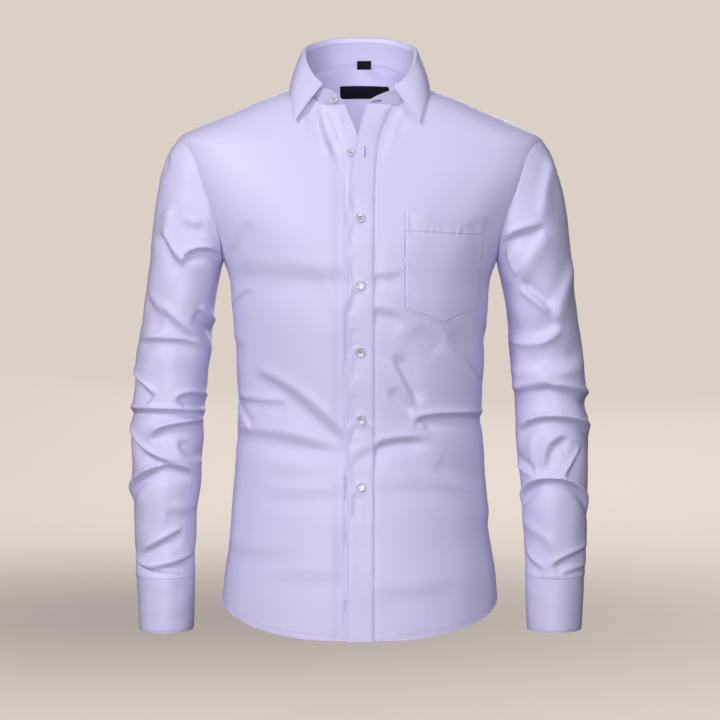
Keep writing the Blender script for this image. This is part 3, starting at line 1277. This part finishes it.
def collar_leaf():
    """A profile carried round the neck: up, over the roll, then out and down to its edge."""
    at, j = np.meshgrid(np.linspace(4, 20, 224), np.linspace(0, 1, 78))
    roll = np.clip(j / 0.26, 0, 1) * 6
    fall = np.clip((j - 0.26) / 0.74, 0, 1)
    n = collar_out(at)
    p = station(at, "t") + n * along(ROLL, "out", roll)[..., None]
    p[..., 2] += along(ROLL, "up", roll)
    edge_point = station(at, "e")
    p = p + (edge_point - p) * fall[..., None]
    p = p + n * (2.4 * np.sin(np.pi * fall) * (1 - 0.3 * fall))[..., None]
    a, b, c, d = lengths_from_edges(p)
    n2 = grid_normals(p)
    # A place on the falling part behind the neck, where outward is towards the back
    middle = n2[57, 112]
    n2 = n2 * (1 if middle[1] > 0 else -1)
    edge = np.minimum(np.minimum(a, b), d)
    out = 0.8 - 0.3 * (1 - ease(edge / 0.8)) + stitch_groove(edge, EDGE_STITCH, 0.26, 0.7)
    out = out + pucker(edge, a + c, 111, 7, 0.1) + 0.2 * ripples(a, c, 113, 8, 40, 120)
    p = p + n2 * out[..., None]
    obj = shell("leaf", p, n2, edge_round(edge, 1.2, 0.7), BANDING)
    dress(obj, ["collar_leaf"])
    print("collar leaf area", round(cloth_area(p), 5), "m2")
    return {"p": p, "n": n2}


leaf = collar_leaf()


# %% [markdown]
# Inside the back of the neck a woven label is sewn to the yoke, and a small one hangs from
# the neck seam. Both are plain black tape here, with nothing on them.

# %% Labels
def neck_label():
    """A tape on the inside of the yoke, stitched along its top."""
    u, t = np.meshgrid(np.linspace(0, 1, 66), np.linspace(0, 1, 20))
    x, z = mix(-26.4, 38.3, u), mix(-28.4, -13.6, t)
    th = 180 - angle_at(x, z)
    base = body_point(th, z)
    a, b, c, d = lengths_from_edges(base)
    edge = np.minimum(np.minimum(a, b), np.minimum(c, d))
    sag = 0.5 * ripples(a, c, 120, 6, 20, 60) * ease(d / 10)
    p, n = on_body(th, z, -THIN - 0.35 - 0.5 * ease(d / 12) + 0.15 * sag)
    obj = shell("neck_tape", p, n, edge_round(edge, 0.7, 0.5), LABEL_TAPE)
    dress(obj, ["neck_label"])
    print("neck label area", round(cloth_area(p), 5), "m2")
    return {"p": p - n * 0.7, "n": -n}


def size_label():
    """A short folded tape that hangs from the neck seam and leans a little forward."""
    u, t = np.meshgrid(np.linspace(0, 1, 28), np.linspace(0, 1, 20))
    x, z = mix(-3.9, 14.6, u), mix(27.0, 38.4, t)
    y = 61.9 - 0.02 * (x - 2) ** 2 * 0.2 - 1.2 * (1 - t) ** 2 + 0.12 * np.sin(u * 9)
    p = np.stack([x, y, z], axis=-1)
    n = np.broadcast_to(np.array([0.0, 1.0, 0.0]), p.shape)
    obj = shell("size_tape", p, n, 0.5, LABEL_TAPE)
    dress(obj, ["size_label"])


tape = neck_label()
size_label()


# %% [markdown]
# A button is turned as a profile round its axis, like on a lathe. Four holes are cut with
# a Boolean, and thread crosses them. Three sizes are made: the largest down the front, a
# middle one at neck and cuffs, and the smallest on the sleeve plackets.

# %% One button
def lathe(profile, steps):
    """Profile points (radius, height) carried round the axis; both ends lie on it."""
    a = np.linspace(0, 2 * np.pi, steps, endpoint=False)
    radius, high = profile[1:-1, :1], profile[1:-1, 1:]
    rings = np.stack([radius * np.cos(a), radius * np.sin(a), high + 0 * a], axis=-1)
    n = len(profile) - 2
    poles = np.array([[0, 0, profile[0, 1]], [0, 0, profile[-1, 1]]])
    points = np.concatenate([rings.reshape(-1, 3), poles])
    k = np.arange(steps)
    nxt = (k + 1) % steps
    quads = [np.stack([j * steps + k, j * steps + nxt, (j + 1) * steps + nxt,
                       (j + 1) * steps + k], axis=1) for j in range(n - 1)]
    low = [[n * steps, int(b), int(a_)] for a_, b in zip(k, nxt)]
    high_cap = [[n * steps + 1, int((n - 1) * steps + a_), int((n - 1) * steps + b)]
                for a_, b in zip(k, nxt)]
    return points, np.concatenate(quads).tolist() + low + high_cap


def button_mesh(radius, thick):
    """Rimmed disc with a dished middle and four holes, lying on z = 0."""
    section = np.array([[0, 0], [0.7, 0], [0.88, 0.1], [0.98, 0.32], [1.0, 0.5], [0.98, 0.74],
                        [0.92, 0.94], [0.86, 1.0], [0.79, 0.97], [0.72, 0.84], [0.64, 0.72],
                        [0.5, 0.66], [0.3, 0.64], [0, 0.64]]) * [radius, thick]
    points, faces = lathe(section, 40)
    mesh = bpy.data.meshes.new("button blank")
    mesh.from_pydata((points * MM).tolist(), [], faces)
    blank = bpy.data.objects.new("button blank", mesh)
    bpy.context.scene.collection.objects.link(blank)
    drill_points, drill_faces = lathe(np.array([[0, -1], [1, -1], [1, 2], [0, 2]], float)
                                      * [radius * 0.125, thick], 14)
    cutters = []
    for sx, sy in ((1, 1), (1, -1), (-1, 1), (-1, -1)):
        shift = np.array([sx * radius * 0.22, sy * radius * 0.22, 0])
        cutter_mesh = bpy.data.meshes.new("drill")
        cutter_mesh.from_pydata(((drill_points + shift) * MM).tolist(), [], drill_faces)
        cutter = bpy.data.objects.new("drill", cutter_mesh)
        bpy.context.scene.collection.objects.link(cutter)
        cut = blank.modifiers.new("hole", "BOOLEAN")
        cut.operation, cut.object, cut.solver = "DIFFERENCE", cutter, "EXACT"
        cutters.append(cutter)
    ready = blank.evaluated_get(bpy.context.evaluated_depsgraph_get())
    finished = bpy.data.meshes.new_from_object(ready)
    for o in cutters + [blank]:
        bpy.data.objects.remove(o, do_unlink=True)
    return finished


def turned_frame(n, roll=0.0):
    """Three directions with the third along n, turned by roll about it."""
    n = np.asarray(n, float)
    side = unit(np.cross([0.0, 0.0, 1.0], n)) if abs(n[2]) < 0.95 else np.array([1.0, 0, 0])
    up = np.cross(n, side)
    c, s = math.cos(roll), math.sin(roll)
    return np.stack([side * c + up * s, up * c - side * s, n])


# Radius and thickness in mm
NECK_SIZE, FRONT_SIZE, SLIT_SIZE = (5.7, 2.4), (6.35, 2.4), (4.4, 2.0)
BUTTON, SMALL = button_mesh(*NECK_SIZE), button_mesh(*SLIT_SIZE)
FRONT_BUTTON = button_mesh(*FRONT_SIZE)
print("button faces", len(BUTTON.polygons))

# %% Thread crossing the holes
def cord_mesh(points, radius, sides=7):
    """A round thread along points: a circle carried along the path."""
    t = unit(np.gradient(points, axis=0))
    side = unit(np.cross(t, [0.3, 0.2, 0.93]))
    up = np.cross(t, side)
    a = np.linspace(0, 2 * np.pi, sides, endpoint=False)
    ring = (points[:, None] + radius * (np.cos(a)[None, :, None] * side[:, None]
                                        + np.sin(a)[None, :, None] * up[:, None]))
    n = len(points)
    k = np.arange(sides)
    quads = np.concatenate([np.stack([j * sides + k, j * sides + (k + 1) % sides,
                                      (j + 1) * sides + (k + 1) % sides, (j + 1) * sides + k],
                                     axis=1) for j in range(n - 1)])
    ends = [list(range(sides))[::-1], list(range((n - 1) * sides, n * sides))]
    return ring.reshape(-1, 3), quads.tolist() + ends


def button_thread(radius, thick):
    """Thread bridges between the holes, two side by side across each pair."""
    points, faces = [], []
    s = np.linspace(-1, 1, 11)
    reach, top = radius * 0.22, thick * 0.64
    for y in (-1, 1):
        for shift in (-0.22, 0.22):
            arch = top + 0.42 - 1.5 * np.abs(s) ** 6
            line = np.stack([s * reach * 1.02, y * reach + shift + 0 * s, arch], axis=-1)
            p, f = cord_mesh(line, 0.2)
            faces += [[v + sum(len(q) for q in points) for v in face] for face in f]
            points.append(p)
    return np.concatenate(points), faces


# %% Set the buttons
buttons = []


def set_button(name, node, place, n, mesh, size, roll=0.0):
    """A copy of the turned button, moved to its place, and its thread."""
    axes = turned_frame(n, roll)
    co = np.empty(len(mesh.vertices) * 3, np.float32)
    mesh.vertices.foreach_get("co", co)
    local = co.reshape(-1, 3) / MM
    copy = mesh.copy()
    copy.name = name
    copy.vertices.foreach_set("co", ((place + local @ axes) * MM).astype(np.float32).ravel())
    copy.shade_smooth()
    copy.set_sharp_from_angle(angle=math.radians(38))
    copy.materials.clear()
    copy.materials.append(PEARL)
    obj = bpy.data.objects.new(name, copy)
    bpy.context.scene.collection.objects.link(obj)
    dress(obj, [node])
    points, faces = button_thread(*size)
    buttons.append((place + points @ axes, faces))


def stand_spot(at, share, out):
    """Place and direction on the stand, square to its slope, at a share of its height."""
    low, high = station(np.array(at), "n"), station(np.array(at), "t")
    face = unit(np.cross([1.0, 0, 0], high - low))
    face = -face if face[1] > 0 else face
    return mix(low, high, share) + face * out, face


def body_spot(x, z, out):
    """Place and direction above the body at x and z."""
    return on_body(angle_at(np.array(x), np.array(z)), np.array(z), np.array(out))


rolls = np.random.default_rng(8).uniform(-0.5, 0.5, 12)
set_button("shirt_button_1", "button_1", *stand_spot(2.27, 0.38, 0.25), BUTTON, NECK_SIZE,
           rolls[0])
open_spot = body_spot(-12.6, -82.8, float(sunk(np.array(12.6), np.array(-82.8))) + 0.35)
set_button("shirt_button_2", "button_2", *open_spot, BUTTON, NECK_SIZE, rolls[1])
for k, (x, z) in enumerate(BUTTON_PLACES):
    set_button(f"shirt_button_{k + 3}", f"button_{k + 3}", *body_spot(x, z, STRIP + 0.75),
               FRONT_BUTTON, FRONT_SIZE, rolls[k + 2])
for side, word in ((-1, "right"), (1, "left")):
    spot = cuff_point(side, np.array(LAP_START + LAP / 2), np.array(-668.0), 0.85)
    set_button(f"wrist_button_{word}", f"cuff_button_{word}", *spot, BUTTON, NECK_SIZE,
               rolls[8])
    spot = on_sleeve(side, np.array(298.0), np.array(0.9), STRIP + 0.4)
    set_button(f"slit_button_{word}", f"sleeve_button_{word}", *spot, SMALL, SLIT_SIZE,
               rolls[9])


def joined(name, parts, material):
    """One mesh from many small ones, each (points in mm, faces)."""
    shift, points, faces = 0, [], []
    for p, f in parts:
        points.append(p)
        faces += [[v + shift for v in face] for face in f]
        shift += len(p)
    mesh = bpy.data.meshes.new(name)
    mesh.from_pydata((np.concatenate(points) * MM).tolist(), [], faces)
    mesh.shade_smooth()
    mesh.uv_layers.new(name="cloth")
    mesh.materials.append(material)
    obj = bpy.data.objects.new(name, mesh)
    bpy.context.scene.collection.objects.link(obj)
    return dress(obj)


joined("button_thread", buttons, THREAD)
print("buttons set:", len(buttons))


# %% [markdown]
# Lines of lockstitch hold every edge. A stitch is a short, plump dash of thread, about
# eleven to three centimetres on a fine shirt. One tiny spindle is copied along each line.

# %% Stitches
def sample(grid, j, i):
    """Points and directions at fractional rows j and columns i of a grid."""
    p, n = grid["p"], grid["n"]
    j = np.clip(j, 0, p.shape[0] - 1.001)
    i = np.clip(i, 0, p.shape[1] - 1.001)
    j0, i0 = j.astype(int), i.astype(int)
    fj, fi = (j - j0)[:, None], (i - i0)[:, None]

    def blend(a):
        low = a[j0, i0] * (1 - fi) + a[j0, i0 + 1] * fi
        high = a[j0 + 1, i0] * (1 - fi) + a[j0 + 1, i0 + 1] * fi
        return low * (1 - fj) + high * fj
    return blend(p), unit(blend(n))


PITCH, STITCH = 2.7, 2.15
SPINDLE_POINTS = 14


def spindle(length, width):
    """Four-sided spindle along x: a pole, three rings, a pole."""
    a = np.linspace(0, 2 * np.pi, 4, endpoint=False)
    rings = [np.stack([0 * a + x * length, np.cos(a) * w * width, np.sin(a) * w * width * 0.7],
                      axis=-1) for x, w in ((-0.36, 0.42), (0, 0.5), (0.36, 0.42))]
    points = np.concatenate(rings + [[[-0.5 * length, 0, 0]], [[0.5 * length, 0, 0]]])
    k = np.arange(4)
    nxt = (k + 1) % 4
    quads = [[j * 4 + a_, j * 4 + b, j * 4 + 4 + b, j * 4 + 4 + a_]
             for j in range(2) for a_, b in zip(k, nxt)]
    caps = [[12, b, a_] for a_, b in zip(k, nxt)] + [[13, 8 + a_, 8 + b] for a_, b in zip(k, nxt)]
    return points, [[int(v) for v in face] for face in quads + caps]


def stitch_line(p, n, lift=0.05, pitch=PITCH, length=STITCH, width=0.36):
    """Spindles at equal steps along a line of points, each turned to the line and cloth."""
    step = np.linalg.norm(np.diff(p, axis=0), axis=1)
    s = np.concatenate([[0], np.cumsum(step)])
    count = max(int(s[-1] / pitch), 1)
    at = (np.arange(count) + 0.5) * (s[-1] / count)
    centre = np.stack([np.interp(at, s, p[:, k]) for k in range(3)], axis=-1)
    ahead = np.stack([np.interp(at + 0.4, s, p[:, k]) for k in range(3)], axis=-1)
    behind = np.stack([np.interp(at - 0.4, s, p[:, k]) for k in range(3)], axis=-1)
    normal = unit(np.stack([np.interp(at, s, n[:, k]) for k in range(3)], axis=-1))
    t = unit(ahead - behind)
    b = unit(np.cross(normal, t))
    dash, faces = spindle(length, width)
    points = (centre + normal * lift)[:, None] + (dash[None, :, :1] * t[:, None]
             + dash[None, :, 1:2] * b[:, None] + dash[None, :, 2:] * normal[:, None])
    starts = range(0, count * len(dash), len(dash))
    return points.reshape(-1, 3), [[v + o for v in face] for o in starts for face in faces]


def from_edge(grid, distance, which, start=0.0, stop=1.0, count=500):
    """A line at a distance in mm from one edge of a grid."""
    nv, nu = grid["p"].shape[:2]
    if which in ("left", "right"):
        j = np.linspace(start, stop, count) * (nv - 1)
        row = np.clip(np.round(j).astype(int), 0, nv - 1)
        cols = (0, 6) if which == "left" else (-1, -7)
        gap = np.linalg.norm(grid["p"][row, cols[1]] - grid["p"][row, cols[0]], axis=-1) / 6
        i = distance / gap if which == "left" else nu - 1 - distance / gap
    else:
        i = np.linspace(start, stop, count) * (nu - 1)
        col = np.clip(np.round(i).astype(int), 0, nu - 1)
        rows = (0, 6) if which == "low" else (-1, -7)
        gap = np.linalg.norm(grid["p"][rows[1], col] - grid["p"][rows[0], col], axis=-1) / 6
        j = distance / gap if which == "low" else nv - 1 - distance / gap
    return sample(grid, j, i)


body_lines = [
    from_edge(left_front, HEM_WIDE, "low", 0.16, 1.0),
    from_edge(right_front, HEM_WIDE, "low", 0.0, 1.0),
    from_edge(back, HEM_WIDE, "low"),
    from_edge(yoke, 2.0, "low"),
    from_edge(left_front, 7.0, "right", ARM_SHARE + 0.005, 0.995),
    from_edge(right_front, 7.0, "right", ARM_SHARE + 0.005, 0.995),
    from_edge(left_front, 2.0, "top", NECK_SHARE + 0.01, 0.99),
    from_edge(right_front, 2.0, "top", NECK_SHARE + 0.01, 0.99),
    from_edge(right_front, 29.0, "left", 0.0, 0.985),
]
raised_lines = [
    from_edge(placket, 1.7, "left", 0.005, 0.995),
    from_edge(placket, 1.7, "right", 0.005, 0.995),
    from_edge(chest_pocket, 1.8, "left", 0.02, 0.995),
    from_edge(chest_pocket, 1.8, "right", 0.02, 0.995),
    from_edge(chest_pocket, 1.8, "low", 0.02, 0.98),
    from_edge(chest_pocket, MOUTH_HEM - 1.2, "top", 0.02, 0.98),
    from_edge(chest_pocket, CORNER_BAR, "left", 0.838, 0.995),
    from_edge(chest_pocket, CORNER_BAR, "right", 0.838, 0.995),
]
stitches = [stitch_line(p, n) for p, n in body_lines]
stitches += [stitch_line(p, n, width=0.55) for p, n in raised_lines]
joined("body_stitching", stitches, THREAD)

trim_lines = []
for band in (left_cuff, right_cuff):
    trim_lines += [from_edge(band, EDGE_STITCH, which, 0.01, 0.99) for which in ("top", "low")]
    trim_lines += [from_edge(band, EDGE_STITCH, which, 0.04, 0.96) for which in ("left", "right")]
for slit in (left_slit, right_slit):
    trim_lines += [from_edge(slit, 2.0, which, 0.0, 0.97) for which in ("left", "right")]
trim_lines += [
    from_edge(leaf, EDGE_STITCH, "top", 0.006, 0.994),
    from_edge(leaf, EDGE_STITCH, "left", 0.3, 0.96),
    from_edge(leaf, EDGE_STITCH, "right", 0.3, 0.96),
    from_edge(stand, EDGE_STITCH, "low", 0.02, 0.98),
]
joined("trim_stitching", [stitch_line(p, n) for p, n in trim_lines], THREAD)
label_line = sample(tape, np.full(80, 17.5), np.linspace(2, 63, 80))
joined("label_stitching", [stitch_line(*label_line, pitch=2.2, length=1.7, width=0.3)],
       LABEL_THREAD)
print("stitched lines:", len(body_lines) + len(raised_lines) + len(trim_lines) + 1)


# %% [markdown]
# A buttonhole is a slit bound with close thread. On the placket the holes stand upright,
# and each done-up button sits over one. The collar's hole lies level.

# %% Buttonholes
SLIT = cloth_material("shaded slit", (0.16, 0.14, 0.26), (0.12, 0.10, 0.20), 2600, 0.2, 0.3, 0.8,
                      0.0)


def buttonhole(place, n, along_it, length=15.0):
    """Two plump bars of close stitches beside a slit, and a bar tack at each end."""
    t = unit(np.asarray(along_it, float) - n * np.dot(along_it, n))
    b = np.cross(n, t)
    parts = []
    for shift in (-0.62, 0.62):
        s = np.linspace(-length / 2, length / 2, 24)
        line = place + t * s[:, None] + b * shift + n * 0.1
        bar, faces = stitch_line(line, np.broadcast_to(n, line.shape), 0.02, 0.42, 1.0, 0.5)
        turned = bar.reshape(-1, SPINDLE_POINTS, 3)
        centre = turned.mean(axis=1, keepdims=True)
        local = turned - centre
        along_t, along_b = local @ t, local @ b
        rest = local - along_t[..., None] * t - along_b[..., None] * b
        turned = centre + rest + along_t[..., None] * b + along_b[..., None] * t
        parts.append((turned.reshape(-1, 3), faces))
    for end in (-1, 1):
        s = np.linspace(-1.1, 1.1, 6)
        line = place + t * (end * length / 2) + b * s[:, None] + n * 0.12
        parts.append(stitch_line(line, np.broadcast_to(n, line.shape), 0.05, 0.5, 0.9, 0.7))
    slit_line = place + t * np.linspace(-length / 2 + 0.6, length / 2 - 0.6, 12)[:, None] + n * 0.02
    return parts, cord_mesh(slit_line, 0.26)


ON_STRIP = STRIP + 0.12
OPEN_HOLE = (5.8, -84.0)
hole_spots = [(x, z, ON_STRIP) for x, z in BUTTON_PLACES]
hole_spots.append((*OPEN_HOLE, ON_STRIP + band_lift(*OPEN_HOLE)))
threads, slits = [], []
for x, z, out in hole_spots:
    place, n = body_spot(x, z, out)
    bars, gap = buttonhole(place, n, [0, 0, 1.0])
    threads += bars
    slits.append(gap)
bars, gap = buttonhole(*stand_spot(22.3, 0.42, 0.1), [1.0, 0, 0.15], 12.0)
threads += bars
slits.append(gap)
joined("buttonhole_thread", threads, THREAD)
joined("buttonhole_slits", slits, SLIT)

# %% [markdown]
# The studio is a wide bowl, so that no horizon shows from any side. Its glow is seen by the
# camera alone, so it throws hardly any light on the cloth, and it is darker in one pool
# behind the shirt. Six soft square lamps and a faint even sky do the lighting: a key from
# the viewer's left, one in front, a weaker fill from the right, one above, one behind and
# a tiny one inside the neck.

# %% Stage
FLOOR_Z = -0.86
bend = np.linspace(0.1, 1.57, 14)
sweep_r = np.concatenate([np.linspace(0.02, 3.0, 10), 3.0 + 2.0 * np.sin(bend), [5.0]])
sweep_z = np.concatenate([np.zeros(10), 2.0 - 2.0 * np.cos(bend), [4.0]])
a = np.linspace(0, 2 * np.pi, 72, endpoint=False)
bowl_points = np.stack([sweep_r[:, None] * np.cos(a), sweep_r[:, None] * np.sin(a),
                        FLOOR_Z + sweep_z[:, None] + 0 * a], axis=-1)
rows, cols = bowl_points.shape[:2]
j, i = (k.ravel() for k in np.meshgrid(np.arange(rows - 1), np.arange(cols), indexing="ij"))
nxt = (i + 1) % cols
bowl_faces = np.stack([j * cols + i, j * cols + nxt, (j + 1) * cols + nxt, (j + 1) * cols + i], 1)
bowl_mesh = bpy.data.meshes.new("studio_bowl")
bowl_mesh.from_pydata(bowl_points.reshape(-1, 3).tolist(), [],
                      bowl_faces.tolist() + [list(range(cols))[::-1]])
bowl_mesh.shade_smooth()
BOWL = bpy.data.materials.new("pale studio")
BOWL.use_nodes = True
bowl_tree = BOWL.node_tree
paper = bowl_tree.nodes["Principled BSDF"]
paper.inputs["Base Color"].default_value = (0.05, 0.046, 0.042, 1)
paper.inputs["Roughness"].default_value = 0.95
paper.inputs["Specular IOR Level"].default_value = 0.1
paper.inputs["Emission Color"].default_value = (0.70, 0.632, 0.565, 1)
seen = bowl_tree.nodes.new("ShaderNodeLightPath")
where = bowl_tree.nodes.new("ShaderNodeTexCoord")
axes = bowl_tree.nodes.new("ShaderNodeSeparateXYZ")
bowl_tree.links.new(where.outputs["Object"], axes.inputs["Vector"])
# The pool's place and half widths in metres, how dark it is, and the glow away from it
POOL_X, POOL_Y, POOL_WIDE, POOL_DEEP, POOL_DARK, GLOW = -0.25, 1.0, 1.0, 0.65, 0.5, 0.985
sideways = maths(bowl_tree, "DIVIDE", maths(bowl_tree, "SUBTRACT", axes.outputs["X"], POOL_X),
                 POOL_WIDE)
behind = maths(bowl_tree, "DIVIDE", maths(bowl_tree, "SUBTRACT", axes.outputs["Y"], POOL_Y),
               POOL_DEEP)
far = maths(bowl_tree, "ADD", maths(bowl_tree, "MULTIPLY", sideways, sideways),
            maths(bowl_tree, "MULTIPLY", behind, behind))
bell = maths(bowl_tree, "EXPONENT", maths(bowl_tree, "MULTIPLY", far, -1.0))
pool = maths(bowl_tree, "MULTIPLY", bell, POOL_DARK)
glow = maths(bowl_tree, "MULTIPLY", maths(bowl_tree, "SUBTRACT", 1.0, pool), GLOW)
bowl_tree.links.new(maths(bowl_tree, "MULTIPLY", seen.outputs["Is Camera Ray"], glow),
                    paper.inputs["Emission Strength"])
bowl_mesh.materials.append(BOWL)
bowl = bpy.data.objects.new("studio_bowl", bowl_mesh)
bpy.context.scene.collection.objects.link(bowl)


def soft_light(name, place, aim, size, power, colour):
    """A square area light at place, turned to aim."""
    data = bpy.data.lights.new(name, "AREA")
    data.size, data.energy, data.color = size, power, colour
    lamp = bpy.data.objects.new(name, data)
    lamp.location = place
    lamp.rotation_euler = (Vector(aim) - Vector(place)).to_track_quat("-Z", "Y").to_euler()
    bpy.context.scene.collection.objects.link(lamp)
    lamp.visible_camera = False


MIDDLE = (0, 0, -0.33)
soft_light("key", (-2.0, -2.0, 1.6), MIDDLE, 0.8, 54, (1.0, 0.99, 0.98))
soft_light("front", (-0.3, -3.0, -0.4), MIDDLE, 1.3, 60, (1.0, 0.995, 0.99))
soft_light("fill", (2.2, -1.6, 1.5), MIDDLE, 1.4, 15, (0.96, 0.97, 1.0))
soft_light("top", (0.6, -0.8, 2.2), MIDDLE, 1.2, 8, (1.0, 0.99, 0.98))
soft_light("behind", (0.3, 3.4, 0.5), MIDDLE, 2.2, 60, (1.0, 0.99, 0.98))
soft_light("neck", (0.0, -0.03, -0.10), (0.0, 0.09, 0.0), 0.07, 0.11, (0.97, 0.97, 1.0))
world = bpy.data.worlds.new("soft room")
world.use_nodes = True
world.node_tree.nodes["Background"].inputs["Color"].default_value = (0.93, 0.95, 1.0, 1)
world.node_tree.nodes["Background"].inputs["Strength"].default_value = 0.12
bpy.context.scene.world = world

# %% Camera at the photo's angle
DISTANCE, ELEVATION, HALF_VIEW = 3.2, math.radians(4.0), 0.468
target = Vector((0, 0, -0.351))
camera_data = bpy.data.cameras.new("camera")
camera_data.sensor_fit = "HORIZONTAL"
camera_data.angle = 2 * math.atan(HALF_VIEW / DISTANCE)
camera = bpy.data.objects.new("camera", camera_data)
camera.location = target + Vector((0, -math.cos(ELEVATION), math.sin(ELEVATION))) * DISTANCE
camera.rotation_euler = (target - camera.location).to_track_quat("-Z", "Y").to_euler()
bpy.context.scene.collection.objects.link(camera)
bpy.context.scene.camera = camera
bpy.context.scene.view_settings.view_transform = "Standard"
